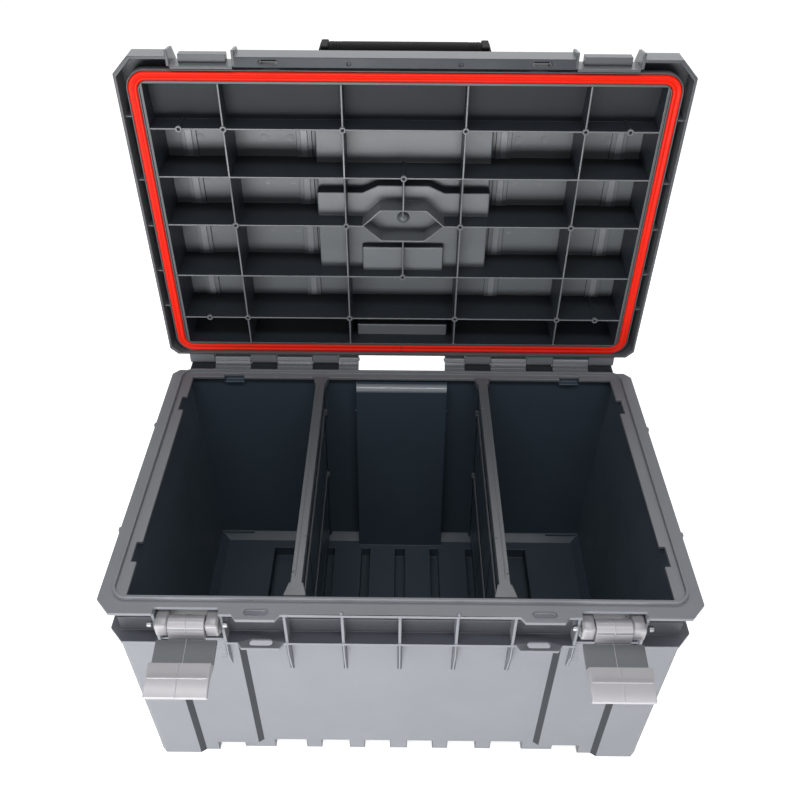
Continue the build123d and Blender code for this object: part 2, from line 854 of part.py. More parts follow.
def lid_ribs():
    """The grid of ribs inside the lid, with the six-sided ring and the round posts."""
    low = above(lid_rib_edge)
    high = above(lid_height)
    half = seal_half
    ribs = Part()
    for place in lid_rib_places:
        y_span = (behind(place) - lid_rib_thickness / 2, behind(place) + lid_rib_thickness / 2)
        ribs += block((-half, half), y_span, (low, high))
    for place in lid_long_rib_places:
        x_span = (place - lid_rib_thickness / 2, place + lid_rib_thickness / 2)
        ribs += both(block(x_span, (behind(0), behind(seal_depth)), (low, high)))
        for rib_place in lid_rib_places[0::2]:
            post_place = Pos(place, behind(rib_place), (low + high) / 2)
            ribs += both(post_place * Cylinder(post_radius, high - low))
    for rib_place in (lid_rib_places[0], lid_rib_places[-1]):
        post_place = Pos(half - post_inset, behind(rib_place), (low + high) / 2)
        ribs += both(post_place * Cylinder(post_radius, high - low))
    middle_x = (-lid_rib_thickness / 2, lid_rib_thickness / 2)
    for rib_place in lid_rib_places[1::2]:
        ribs += block(middle_x, sorted((behind(hub_place), behind(rib_place))), (low, high))
        ribs += Pos(0, behind(rib_place), (low + high) / 2) * Cylinder(post_radius, high - low)
    middle = (hexagon_front + hexagon_back) / 2

    def ring(grow):
        """The six-sided outline, grown outward."""
        points = [
            (hexagon_half + grow, behind(middle)),
            (hexagon_shoulder + grow, behind(hexagon_front) - grow),
            (-hexagon_shoulder - grow, behind(hexagon_front) - grow),
            (-hexagon_half - grow, behind(middle)),
            (-hexagon_shoulder - grow, behind(hexagon_back) + grow),
            (hexagon_shoulder + grow, behind(hexagon_back) + grow),
        ]
        return plan(points, (low, high))

    hub_rib = block(middle_x, (behind(hexagon_front), behind(hub_place)), (above(finger_floor), high))
    return ribs - ring(0) + (ring(lid_rib_thickness) - ring(0)) + hub_rib


def roof_grooves(grow):
    """Grooves along the roof that seat the runners of a case stacked on top, grown outward."""
    front = behind(roof_front_place + 2 * wall)
    y_span = (front - grow, behind(roof_groove_back) + grow)
    z_span = (above(lid_height) - roof_groove_depth - grow, above(lid_height) + overrun)
    half = roof_groove_width / 2 + grow
    middles = [seal_half - inset for inset in roof_groove_insets]
    return both(Part() + [block((x - half, x + half), y_span, z_span) for x in middles])


def lid_knuckles():
    """The lid's hinge knuckles on arms from its back wall."""
    root = lid_back - arm_root
    points = [
        (root, hinge_z - knuckle_radius + arm_root / 2),
        (hinge_y, hinge_z - knuckle_radius),
        (hinge_y, hinge_z + knuckle_radius),
        (root, hinge_z + knuckle_radius + arm_root),
    ]
    return both(Part() + [hinge_arm(points, span) for span in knuckle_spans(0)])


def latch_fittings():
    """The catch and the two guard fins of each latch pocket in the lid."""
    pocket_face = behind(-lid_pocket_reach)
    catch_x = (latch_place - catch_half, latch_place + catch_half)
    catch_y = (behind(-catch_reach), pocket_face + wall)
    fittings = block(catch_x, catch_y, (above(catch_low), above(catch_high)))
    fin = [
        (pocket_face, above(-skirt_drop)),
        (behind(-fin_reach), above(-skirt_drop)),
        (behind(-fin_reach) + fin_thickness, above(ledge_front_height)),
        (pocket_face + wall, above(fin_height)),
    ]
    for edge in (latch_place - lid_pocket_half - fin_thickness, latch_place + lid_pocket_half):
        fittings += prism_x(fin, (edge, edge + fin_thickness))
    return both(fittings)


def lid_shell():
    """The moulded lid, shut."""
    skirt_low = above(-skirt_drop)
    roof_low = above(seat_height + seat_thickness)
    solid = lid_form(0, 0, skirt_low)
    hollow = lid_form(wall, wall, skirt_low - overrun)
    inside = tray(0, skirt_low - overrun, above(lid_height)) & lid_form(0, wall, skirt_low - overrun)
    outer_band = seal_band + 2 * seal_play
    seat_block = seal_loop(outer_band + 2 * groove_lip, (skirt_low - overrun, roof_low))
    full = (skirt_low - overrun, above(lid_height))
    wall_ring = tray(inner_wall, *full) - tray(0, *full)
    channel_low = above(skirt_drop / 2)
    kept = (wall_ring + seat_block) & block(
        (-seal_width, seal_width), (-seal_depth, seal_depth), (channel_low, above(lid_height))
    )
    shell = solid - (hollow - kept)
    shell -= inside
    shell -= seal_loop(outer_band, (skirt_low - overrun, above(seat_height)))
    bar_y = (behind(-lid_front_reach), behind(-bar_back))
    bar_half = latch_place - lid_pocket_half - fin_thickness / 2
    shell += block((-bar_half, bar_half), bar_y, (skirt_low, above(bar_height))) - peg(side_clearance)
    ticks = Part()
    for place in skirt_tick_places:
        y_span = (behind(place) - lid_rib_thickness / 2, behind(place) + lid_rib_thickness / 2)
        x_span = (seal_half + seal_band / 2 + seal_play, seal_half + lid_side_reach - wall / 2)
        ticks += both(block(x_span, y_span, (above(lid_rib_edge), above(lid_height) - roof_side_drop)))
    shell += ticks
    bump = (handle_recess(wall) + rear_recess(wall) + roof_grooves(wall)) & lid_form(0, 0, skirt_low)
    shell += (lid_ribs() + bump) & inside
    hub = Pos(0, behind(hub_place), above(well_floor) - wall) * Sphere(hub_radius)
    shell += hub & inside
    shell -= handle_recess(0) + rear_recess(0) + roof_grooves(0)
    shell += pivot_lugs()
    pocket_x = (latch_place - lid_pocket_half, latch_place + lid_pocket_half)
    pocket_front = behind(-lid_front_reach) - overrun
    pocket_y = (pocket_front, behind(-lid_pocket_reach))
    pocket = block(pocket_x, pocket_y, (skirt_low - overrun, above(lid_height)))
    backing_y = (behind(-lid_pocket_reach), behind(-lid_pocket_reach) + wall)
    backing = block(pocket_x, backing_y, (skirt_low, above(lid_height))) & lid_form(0, 0, skirt_low)
    shell = shell + both(backing) - both(pocket)
    shell += latch_fittings() + lid_knuckles()
    slot = SlotOverall(bar_slot_length, bar_slot_width)
    slot_place = Pos(ear_centre, behind(-bar_slot_reach), skirt_low - overrun)
    shell -= both(extrude(slot_place * slot, amount=lid_height, dir=(0, 0, 1)))
    pin_bore = (arm_inner - lug_width - overrun, recess_half + wall - rest_gap)
    return shell - both(rod_x(handle_pin_radius + running_clearance, pin_bore, pivot_y, pivot_z))


def pivot_lugs():
    """The lugs on the recess floor that carry the inner ends of the handle pins."""
    high = arm_inner - side_clearance
    y_span = (pivot_y - lug_half, pivot_y + lug_half)
    lug = block((high - lug_width, high), y_span, (above(recess_floor) - wall / 2, pivot_z))
    return both(lug + rod_x(lug_half, (high - lug_width, high), pivot_y, pivot_z))


def lid_seal():
    """The soft seal in the lid's groove, rounded where it meets the bead."""
    ring = seal_loop(seal_band, (above(rest_gap), above(seat_height)))
    low_edges = ring.edges().group_by(Axis.Z)[0]
    return fillet(low_edges, seal_crown)


# Carry handle, drawn level with its pivot and dipped to its resting place
def handle_frame():
    """The two arms, their eyes and the core of the grip."""
    outer = handle_half
    tip = -handle_reach - grip_width / 2
    right = [
        (arm_inner, 0),
        (outer, 0),
        (outer, tip + arm_shoulder),
        (outer - arm_shoulder_in, tip),
        (arm_inner, tip),
    ]
    arm = plan(right, (-arm_thickness / 2, arm_thickness / 2))
    end_x = (arm_inner, outer - arm_shoulder_in)
    end = block(end_x, (tip, tip + grip_width), (-grip_thickness / 2, grip_thickness / 2))
    frame = both(arm + end + rod_x(eye_radius, (arm_inner, outer), 0, 0))
    frame += rod_x(grip_core_radius, (-arm_inner - rest_gap, arm_inner + rest_gap), -handle_reach, 0)
    bored = (arm_inner - overrun, outer + overrun)
    return frame - both(rod_x(handle_pin_radius + running_clearance, bored, 0, 0))


def handle_grip():
    """The soft sleeve on the grip's core."""
    section = RectangleRounded(grip_width, grip_thickness, grip_corner)
    section -= Circle(grip_core_radius + running_clearance)
    length = 2 * (arm_inner - grip_end_gap)
    sleeve = extrude(Plane.YZ * section, amount=length, dir=(1, 0, 0))
    return Pos(-length / 2, -handle_reach, 0) * sleeve


def handle_pin():
    """The right handle pin, from its lug through the arm into the recess wall."""
    inner = arm_inner - side_clearance - lug_width
    return rod_x(handle_pin_radius, (inner, recess_half + wall - 2 * rest_gap), pivot_y, pivot_z)


# Assembly at rest: lid open, handle dipped to the front, latches open, dividers down
def opened(shape):
    """A piece of the shut lid, swung open about the hinge axis."""
    return Pos(0, hinge_y, hinge_z) * Rot(-90, 0, 0) * Pos(0, -hinge_y, -hinge_z) * shape


def on_pivot(shape):
    """A piece of the handle on its pivot."""
    return opened(Pos(0, pivot_y, pivot_z) * Rot(handle_lean, 0, 0) * shape)


def mirrored(shape):
    """The left-hand piece of a right-hand one."""
    return mirror(shape, about=Plane.YZ)


def hinge_pin():
    """The right hinge pin through all its knuckles."""
    return rod_x(hinge_pin_radius, (knuckle_ends[-1], knuckle_ends[0]), hinge_y, hinge_z)


panel, rail_level = divider_panel()
pairs = {
    "divider_panel": panel,
    "divider_rail": divider_rail(rail_level),
    "hinge_pin": hinge_pin(),
    "latch_bracket": latch_bracket(),
    "latch_pin": latch_pin(),
    "latch_screws": latch_screws(),
    "latch_lever": latch_lever(),
    "handle_pin": opened(handle_pin()),
}
pieces = {
    "base_shell": base_shell(),
    "lid_shell": opened(lid_shell()),
    "lid_seal": opened(lid_seal()),
    "handle_frame": on_pivot(handle_frame()),
    "handle_grip": on_pivot(handle_grip()),
}
for name, shape in pairs.items():
    pieces[name + "_right"] = shape
    pieces[name + "_left"] = mirrored(shape)

os.makedirs("parts", exist_ok=True)
for name, shape in pieces.items():
    export_step(shape, f"parts/{name}.step")
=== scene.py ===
import logging
import math
from abc import ABC, abstractmethod
from dataclasses import dataclass
from enum import Enum
from typing import Any, Callable, ClassVar, Sequence

import bmesh
import bpy
from mathutils import Matrix, Vector


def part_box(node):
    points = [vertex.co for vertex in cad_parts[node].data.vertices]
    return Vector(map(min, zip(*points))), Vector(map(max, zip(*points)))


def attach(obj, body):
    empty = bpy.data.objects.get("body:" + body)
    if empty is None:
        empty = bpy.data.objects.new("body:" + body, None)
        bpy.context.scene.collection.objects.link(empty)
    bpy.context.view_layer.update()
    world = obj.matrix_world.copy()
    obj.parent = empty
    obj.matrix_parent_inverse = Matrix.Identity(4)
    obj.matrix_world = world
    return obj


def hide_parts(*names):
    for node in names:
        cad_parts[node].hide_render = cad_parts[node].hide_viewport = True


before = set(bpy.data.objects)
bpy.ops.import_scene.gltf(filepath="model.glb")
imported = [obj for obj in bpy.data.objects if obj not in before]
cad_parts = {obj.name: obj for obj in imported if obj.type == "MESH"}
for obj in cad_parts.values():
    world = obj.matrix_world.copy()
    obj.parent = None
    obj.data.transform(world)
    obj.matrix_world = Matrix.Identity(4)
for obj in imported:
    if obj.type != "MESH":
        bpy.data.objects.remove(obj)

# The looks of a moulded tool case that stands open: softened mouldings, a red seal in the lid,
# latches, hinges, dividers and a carry handle. Sizes are in millimetres, Blender works in metres.

MM = 0.001
LOG = logging.getLogger("tool_case")
WHITE = "#ffffff"
# A Mix node's colour sockets go by number, because its other kinds of data use the same names.
MIX_FIRST = 6
MIX_SECOND = 7
MIX_RESULT = 2


class Side(Enum):
    """The two sides of the case, with their sign on X."""

    LEFT = ("left", -1)
    RIGHT = ("right", 1)

    @property
    def word(self) -> str:
        """The side's word in node names."""
        return self.value[0]

    @property
    def sign(self) -> int:
        """The side's sign on X."""
        return self.value[1]


class Slot(Enum):
    """The pieces' material slots."""

    CASE = "case_plastic"
    LATCH = "latch_plastic"
    SEAL = "seal_rubber"
    STEEL = "pin_steel"
    HANDLE = "handle_plastic"
    GRIP = "grip_rubber"


# Shader helpers
def linear(colour: str) -> tuple[float, float, float, float]:
    """Turns an sRGB hex colour into linear RGBA, by the curve of the sRGB standard.

    Args:
        colour: six hex digits after a hash sign.

    Returns:
        Linear red, green, blue and full alpha.
    """
    parts = [int(colour[i:i + 2], 16) / 255 for i in (1, 3, 5)]
    red, green, blue = [c / 12.92 if c <= 0.04045 else ((c + 0.055) / 1.055) ** 2.4 for c in parts]
    return red, green, blue, 1.0


def add(tree: bpy.types.NodeTree, kind: str, inputs: dict[Any, Any] | None = None,
        **settings: Any) -> bpy.types.Node:
    """Adds a shader node with its settings and links.

    Args:
        tree: the material's or world's node tree.
        kind: the node's Blender type.
        inputs: values or output sockets for its inputs, by name or number.
        settings: the node's own properties.

    Returns:
        The new node.
    """
    node = tree.nodes.new(kind)
    for key, value in settings.items():
        setattr(node, key, value)
    for key, value in (inputs or {}).items():
        if isinstance(value, bpy.types.NodeSocket):
            tree.links.new(value, node.inputs[key])
        else:
            node.inputs[key].default_value = value
    return node


def per_metre(size_mm: float) -> float:
    """The texture scale at which a pattern repeats about once in this size."""
    return 1 / (size_mm * MM)


def seen_directly(tree: bpy.types.NodeTree) -> bpy.types.NodeSocket:
    """One for the camera, reflections and clear materials, nothing for the light on the object.

    Args:
        tree: the material's or world's node tree.

    Returns:
        The socket that says so.
    """
    path = add(tree, "ShaderNodeLightPath").outputs
    seen = path["Is Camera Ray"]
    for ray in ("Is Glossy Ray", "Is Transmission Ray"):
        seen = add(tree, "ShaderNodeMath", {0: seen, 1: path[ray]}, operation="MAXIMUM").outputs[0]
    return seen


# Finishes
@dataclass(frozen=True)
class Finish(ABC):
    """A surface: its name, colour, roughness and the patterns that show in it."""

    name: str
    colour: str
    roughness: float

    @abstractmethod
    def draw(self, tree: bpy.types.NodeTree, shader: bpy.types.Node) -> None:
        """Adds the finish's patterns to its shader."""

    def material(self) -> bpy.types.Material:
        """Returns the finish as a material, made once.

        Returns:
            The material of this name.
        """
        found = bpy.data.materials.get(self.name)
        if found is not None:
            return found
        made = bpy.data.materials.new(self.name)
        made.use_nodes = True
        shader = made.node_tree.nodes["Principled BSDF"]
        shader.inputs["Base Color"].default_value = linear(self.colour)
        shader.inputs["Roughness"].default_value = self.roughness
        self.draw(made.node_tree, shader)
        made.diffuse_color = linear(self.colour)
        return made


@dataclass(frozen=True)
class MouldedPlastic(Finish):
    """Injection-moulded plastic: a grain from the mould's face, and clouds in tone and sheen."""

    CLOUD_DETAIL: ClassVar[float] = 4.0
    CLOUD_BREAKUP: ClassVar[float] = 0.6
    GRAIN_DETAIL: ClassVar[float] = 2.0
    GRAIN_BREAKUP: ClassVar[float] = 0.7
    second_colour: str
    grain_mm: float
    grain_height_mm: float
    cloud_mm: float = 70.0
    sheen_spread: float = 0.08
    ior: float = 1.49
    specular: float = 0.5

    def draw(self, tree: bpy.types.NodeTree, shader: bpy.types.Node) -> None:
        """Draws the grain as bump, and clouds in tone and sheen.

        Args:
            tree: the material's node tree.
            shader: its main shader.
        """
        where = add(tree, "ShaderNodeTexCoord").outputs["Object"]
        clouds = add(tree, "ShaderNodeTexNoise", {
            "Vector": where, "Scale": per_metre(self.cloud_mm),
            "Detail": self.CLOUD_DETAIL, "Roughness": self.CLOUD_BREAKUP})
        tone = add(tree, "ShaderNodeMix", {
            "Factor": clouds.outputs["Fac"],
            MIX_FIRST: linear(self.colour), MIX_SECOND: linear(self.second_colour)}, data_type="RGBA")
        grain = add(tree, "ShaderNodeTexNoise", {
            "Vector": where, "Scale": per_metre(self.grain_mm),
            "Detail": self.GRAIN_DETAIL, "Roughness": self.GRAIN_BREAKUP})
        sheen = add(tree, "ShaderNodeMapRange", {
            "Value": clouds.outputs["Fac"],
            "To Min": self.roughness - self.sheen_spread, "To Max": self.roughness + self.sheen_spread})
        bump = add(tree, "ShaderNodeBump", {
            "Height": grain.outputs["Fac"], "Distance": self.grain_height_mm * MM, "Strength": 1.0})
        shader.inputs["IOR"].default_value = self.ior
        shader.inputs["Specular IOR Level"].default_value = self.specular
        tree.links.new(tone.outputs[MIX_RESULT], shader.inputs["Base Color"])
        tree.links.new(sheen.outputs["Result"], shader.inputs["Roughness"])
        tree.links.new(bump.outputs["Normal"], shader.inputs["Normal"])


@dataclass(frozen=True)
class SiliconeSponge(Finish):
    """Extruded silicone sponge: saturated, softly shining, with a fine closed-cell skin."""

    CLOUD_DETAIL: ClassVar[float] = 2.0
    second_colour: str
    cell_mm: float
    cell_height_mm: float
    cloud_mm: float = 45.0
    ior: float = 1.41
    specular: float = 0.25

    def draw(self, tree: bpy.types.NodeTree, shader: bpy.types.Node) -> None:
        """Draws the cells as bump, and slow changes of tone along the length.

        Args:
            tree: the material's node tree.
            shader: its main shader.
        """
        where = add(tree, "ShaderNodeTexCoord").outputs["Object"]
        clouds = add(tree, "ShaderNodeTexNoise", {
            "Vector": where, "Scale": per_metre(self.cloud_mm), "Detail": self.CLOUD_DETAIL})
        tone = add(tree, "ShaderNodeMix", {
            "Factor": clouds.outputs["Fac"],
            MIX_FIRST: linear(self.colour), MIX_SECOND: linear(self.second_colour)}, data_type="RGBA")
        cells = add(tree, "ShaderNodeTexVoronoi", {"Vector": where, "Scale": per_metre(self.cell_mm)})
        bump = add(tree, "ShaderNodeBump", {
            "Height": cells.outputs["Distance"], "Distance": self.cell_height_mm * MM, "Strength": 1.0})
        shader.inputs["IOR"].default_value = self.ior
        shader.inputs["Specular IOR Level"].default_value = self.specular
        tree.links.new(tone.outputs[MIX_RESULT], shader.inputs["Base Color"])
        tree.links.new(bump.outputs["Normal"], shader.inputs["Normal"])


@dataclass(frozen=True)
class DrawnSteel(Finish):
    """Drawn and zinc-plated steel wire: bright, with fine lines along its length on X."""

    LINE_DETAIL: ClassVar[float] = 3.0
    line_mm: float
    stretch: float = 60.0
    smooth_share: float = 0.7
    rough_share: float = 1.4

    def draw(self, tree: bpy.types.NodeTree, shader: bpy.types.Node) -> None:
        """Draws lines in the roughness.

        Args:
            tree: the material's node tree.
            shader: its main shader.
        """
        where = add(tree, "ShaderNodeTexCoord").outputs["Object"]
        along = add(tree, "ShaderNodeMapping", {"Vector": where, "Scale": (1 / self.stretch, 1.0, 1.0)})
        lines = add(tree, "ShaderNodeTexNoise", {
            "Vector": along.outputs["Vector"], "Scale": per_metre(self.line_mm), "Detail": self.LINE_DETAIL})
        rough = add(tree, "ShaderNodeMapRange", {
            "Value": lines.outputs["Fac"],
            "To Min": self.roughness * self.smooth_share, "To Max": self.roughness * self.rough_share})
        shader.inputs["Metallic"].default_value = 1.0
        tree.links.new(rough.outputs["Result"], shader.inputs["Roughness"])


@dataclass(frozen=True)
class PaleFloor(Finish):
    """A plain pale studio floor."""

    lift: float = 0.8

    def draw(self, tree: bpy.types.NodeTree, shader: bpy.types.Node) -> None:
        """Lifts the floor for the camera and for reflections, so that it stays pale far away.

        Args:
            tree: the material's node tree.
            shader: its main shader.
        """
        lift = add(tree, "ShaderNodeMath", {0: seen_directly(tree), 1: self.lift}, operation="MULTIPLY")
        shader.inputs["Emission Color"].default_value = linear(WHITE)
        shader.inputs["Specular IOR Level"].default_value = 0.0
        tree.links.new(lift.outputs[0], shader.inputs["Emission Strength"])


# Polypropylene off a spark-eroded mould: a mid-grey, even, slightly silky face. The real grain is about
# 0.3 mm and would not show, so this grain and the ones below are drawn at 1.2 to 2.4 mm.
SATIN_BASE = MouldedPlastic(
    "moulded_polypropylene_satin", colour="#86898f", roughness=0.46, second_colour="#7c7f85",
    grain_mm=1.6, grain_height_mm=0.05)
# Painted shade in the tub and on the dividers: the same resin, painted dark and a little blue, with a
# clearer sheen.
TUB_SHADE_CASE = MouldedPlastic(
    "moulded_polypropylene_tub_shade", colour="#4a5864", roughness=0.38, second_colour="#414d58",
    grain_mm=2.4, grain_height_mm=0.03)
# Painted shade on the tub's two end walls: paler than the painted shade on the rest of the tub.
END_WALL_SHADE_CASE = MouldedPlastic(
    "moulded_polypropylene_end_wall_shade", colour="#626f7c", roughness=0.46, second_colour="#4f5a66",
    grain_mm=2.4, grain_height_mm=0.04, cloud_mm=55.0)
# Painted shade on the belt under the flange: the same resin, painted darker, even and less blue.
BELT_CASE = MouldedPlastic(
    "moulded_polypropylene_belt", colour="#696c75", roughness=0.42, second_colour="#5e616a",
    grain_mm=1.6, grain_height_mm=0.04)
# Deeper painted shade on the wall behind the belt's ribs, in two levels: darker than the ribs, and the lower
# level more so.
BELT_WALL = MouldedPlastic(
    "moulded_polypropylene_belt_wall", colour="#52545c", roughness=0.42, second_colour="#484a52",
    grain_mm=1.6, grain_height_mm=0.04)
BELT_FOOT = MouldedPlastic(
    "moulded_polypropylene_belt_foot", colour="#3c3e44", roughness=0.42, second_colour="#35373d",
    grain_mm=1.6, grain_height_mm=0.04)
# A painted highlight on the spine's shoulder: pale, with a clear gleam.
SPINE_HIGHLIGHT_CASE = MouldedPlastic(
    "moulded_polypropylene_spine_highlight", colour="#939ca4", roughness=0.13, second_colour="#848d95",
    grain_mm=2.4, grain_height_mm=0.01, cloud_mm=30.0, sheen_spread=0.03, specular=0.9)
# Deep painted shade on the front's sloped bands, the lid's first roof row and the hinge's aprons: the same
# resin, dull and almost black.
DEEP_SHADE_CASE = MouldedPlastic(
    "moulded_polypropylene_deep_shade", colour="#2a2e34", roughness=0.5, second_colour="#24282d",
    grain_mm=1.6, grain_height_mm=0.05, specular=0.3)
# The lid's face: painted shade a shade darker than the base, for the lower light on the open lid, with more
# sheen.
SATIN_LID = MouldedPlastic(
    "moulded_polypropylene_lid", colour="#6c7074", roughness=0.32, second_colour="#63676b",
    grain_mm=1.6, grain_height_mm=0.05)
# Painted shade on the lid's rim, on its faces that look forward when open: darker than its face, with a low
# sheen.
RIM_LID = MouldedPlastic(
    "moulded_polypropylene_rim", colour="#4d5154", roughness=0.4, second_colour="#45494c",
    grain_mm=1.6, grain_height_mm=0.04)
# Painted shade on the flanks of the lid's ribs and on its front bar: dark, with little sheen.
DARK_LID = MouldedPlastic(
    "moulded_polypropylene_ribs", colour="#343a41", roughness=0.42, second_colour="#2d3238",
    grain_mm=2.4, grain_height_mm=0.03, specular=0.3)
# Painted light on the hinge knuckles, the belt's step, the lid's upper edges and its roof strips: pale
# and smooth.
PAINTED_LIGHT_CASE = MouldedPlastic(
    "moulded_polypropylene_painted_light", colour="#85888d", roughness=0.24, second_colour="#7a7d82",
    grain_mm=1.6, grain_height_mm=0.02, cloud_mm=25.0, sheen_spread=0.05)
# Cap rails: the case's resin with a worn sheen.
RAIL_CASE = MouldedPlastic(
    "moulded_polypropylene_rail", colour="#73777b", roughness=0.38, second_colour="#686c70",
    grain_mm=1.8, grain_height_mm=0.04)
# Glass-filled nylon: shinier than the case, and painted paler than it, a painted highlight for the glare on
# the latches.
LATCH_NYLON = MouldedPlastic(
    "moulded_nylon_grey", colour="#bab8bc", roughness=0.24, second_colour="#adabaf",
    grain_mm=1.2, grain_height_mm=0.02, cloud_mm=40.0, sheen_spread=0.06, ior=1.53)
# Painted shade in the lever's hollow: the same nylon, darker and less shiny.
NECK_NYLON = MouldedPlastic(
    "moulded_nylon_hollow", colour="#74787c", roughness=0.3, second_colour="#666a6f",
    grain_mm=1.2, grain_height_mm=0.02, cloud_mm=30.0, sheen_spread=0.06, ior=1.53)
# Black glass-filled nylon for the handle's frame: dull, with hardly a gleam. It is also the painted shade in
# the bores of the lid's post caps.
HANDLE_NYLON = MouldedPlastic(
    "moulded_nylon_black", colour="#161416", roughness=0.55, second_colour="#111012",
    grain_mm=1.4, grain_height_mm=0.03, cloud_mm=40.0, sheen_spread=0.06, ior=1.53, specular=0.15)
# Soft moulded grip: black and nearly matt.
SOFT_GRIP = MouldedPlastic(
    "moulded_soft_grip", colour="#131113", roughness=0.68, second_colour="#0e0d0e",
    grain_mm=1.5, grain_height_mm=0.12, cloud_mm=30.0, sheen_spread=0.06, ior=1.5, specular=0.15)
# Red silicone sponge cord: a closed skin that shines softly. Cells of a few tenths of a millimetre would
# not show, so they are drawn at 1.4 mm.
RED_SEAL = SiliconeSponge(
    "extruded_silicone_red", colour="#f92404", roughness=0.42, second_colour="#ee1e02",
    cell_mm=1.4, cell_height_mm=0.05)
# Zinc-plated drawn wire for pins and screws: bright, with lines along the draw. Lines finer than a tenth
# of a millimetre would not show, so they are drawn at 0.6 mm.
PIN_STEEL = DrawnSteel("drawn_steel_zinc", colour="#96989b", roughness=0.36, line_mm=0.6)
# Matt backdrop paper: pale and even.
FLOOR = PaleFloor("pale_floor", colour="#f2f2f2", roughness=0.9)


# Mesh helpers
# Corners of the CAD mesh that lie closer than this are one corner.
WELD_MM = 0.002
# Edges sharper than the first angle are rounded; those sharper than the second stay sharp in the shading.
ROUNDED_DEGREES = 28.0
SHARP_DEGREES = 42.0
BEVEL_SEGMENTS = 2
# Large faces take over the shading of the small bevels beside them.
AREA_WEIGHT = 100
# How small the drawn-in end of a bar is.
END_SHARE = 0.5
# How much of a face's normal has to lie along a direction for the face to look that way.
FLAT = 0.95
SQUARELY = 0.7
HALFWAY = 0.5
SLIGHTLY = 0.3
ACROSS = Vector((1, 0, 0))
FORWARD = Vector((0, -1, 0))
BACKWARD = Vector((0, 1, 0))
UP = Vector((0, 0, 1))
DOWN = Vector((0, 0, -1))
ENDS = (-1, 1)


@dataclass(frozen=True)
class Rounding:
    """Edges whose middle lies in a box get this radius.

    The corners of the box are in millimetres, in the case's own frame.
    """

    low: tuple[float, float, float]
    high: tuple[float, float, float]
    radius: float

    def holds(self, point: Vector) -> bool:
        """Whether the point, in metres, lies in the box."""
        return all(lo * MM <= c <= hi * MM for lo, c, hi in zip(self.low, point, self.high))


def link(obj: bpy.types.Object) -> bpy.types.Object:
    """Puts a new object in the scene."""
    bpy.context.scene.collection.objects.link(obj)
    return obj


def mesh_object(name: str, shape: bmesh.types.BMesh) -> bpy.types.Object:
    """Makes an object of a finished mesh and frees the working copy.

    Args:
        name: the piece's name.
        shape: the mesh in metres.

    Returns:
        The new object, in the scene.
    """
    mesh = bpy.data.meshes.new(name)
    shape.to_mesh(mesh)
    shape.free()
    return link(bpy.data.objects.new(name, mesh))


def settle(obj: bpy.types.Object) -> bpy.types.Object:
    """Bakes an object's modifiers into its mesh.

    Args:
        obj: a mesh object with modifiers.

    Returns:
        The same object, with none.
    """
    bpy.context.view_layer.update()
    graph = bpy.context.evaluated_depsgraph_get()
    old = obj.data
    obj.data = bpy.data.meshes.new_from_object(obj.evaluated_get(graph), depsgraph=graph)
    obj.modifiers.clear()
    bpy.data.meshes.remove(old)
    return obj


def shade(obj: bpy.types.Object, sharp_degrees: float = SHARP_DEGREES) -> bpy.types.Object:
    """Shades an object smooth over its small bevels and keeps its large faces flat.

    Args:
        obj: a mesh object.
        sharp_degrees: edges above this angle stay sharp.

    Returns:
        The same object.
    """
    obj.data.shade_smooth()
    obj.data.set_sharp_from_angle(angle=math.radians(sharp_degrees))
    normals = obj.modifiers.new("even_normals", "WEIGHTED_NORMAL")
    normals.keep_sharp = True
    normals.weight = AREA_WEIGHT
    return settle(obj)


def softened(node: str, name: str, radius: float, wider: Sequence[Rounding] = ()) -> bpy.types.Object:
    """Copies a CAD node with its sharp edges rounded, as a mould leaves them.

    Args:
        node: the CAD node.
        name: the new piece's name.
        radius: the usual edge radius in millimetres.
        wider: places with another radius.

    Returns:
        The rounded copy, in the scene.
    """
    shape = bmesh.new()
    shape.from_mesh(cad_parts[node].data)
    bmesh.ops.remove_doubles(shape, verts=shape.verts, dist=WELD_MM * MM)
    weight = shape.edges.layers.float.new("bevel_weight_edge")
    widest = max([radius] + [spot.radius for spot in wider])
    for edge in shape.edges:
        if edge.is_manifold and edge.calc_face_angle() > math.radians(ROUNDED_DEGREES):
            middle = (edge.verts[0].co + edge.verts[1].co) / 2
            chosen = [spot.radius for spot in wider if edge.is_convex and spot.holds(middle)]
            edge[weight] = (chosen[0] if chosen else radius) / widest
    obj = mesh_object(name, shape)
    bevel = obj.modifiers.new("moulded_edges", "BEVEL")
    bevel.limit_method = "WEIGHT"
    bevel.width = widest * MM
    bevel.segments = BEVEL_SEGMENTS
    bevel.use_clamp_overlap = False
    bevel.loop_slide = False
    return shade(settle(obj))


def swept(shape: bmesh.types.BMesh, rings: Sequence[Sequence[Vector]]) -> None:
    """Adds a skin through a row of equal rings, closed at both ends.

    Args:
        shape: the mesh, in metres.
        rings: points in millimetres.
    """
    made = [[shape.verts.new(point * MM) for point in ring] for ring in rings]
    count = len(made[0])
    for one, two in zip(made, made[1:]):
        for i in range(count):
            j = (i + 1) % count
            shape.faces.new((one[i], one[j], two[j], two[i]))
    shape.faces.new(list(reversed(made[0])))
    shape.faces.new(made[-1])


def turned(shape: bmesh.types.BMesh, profile: Sequence[tuple[float, float]], spot: Vector, axis: Vector,
           steps: int) -> None:
    """Adds a turned form to a mesh.

    Args:
        shape: the mesh, in metres.
        profile: radius and height pairs in millimetres, from the first end to the last.
        spot: the foot of the axis in millimetres.
        axis: the direction of the heights.
        steps: facets round the axis.
    """
    turn = axis.to_track_quat("Z", "Y")
    angles = [2 * math.pi * step / steps for step in range(steps)]
    circle = [(math.cos(angle), math.sin(angle)) for angle in angles]
    swept(shape, [[spot + turn @ Vector((radius * a, radius * b, height)) for a, b in circle]
                  for radius, height in profile])


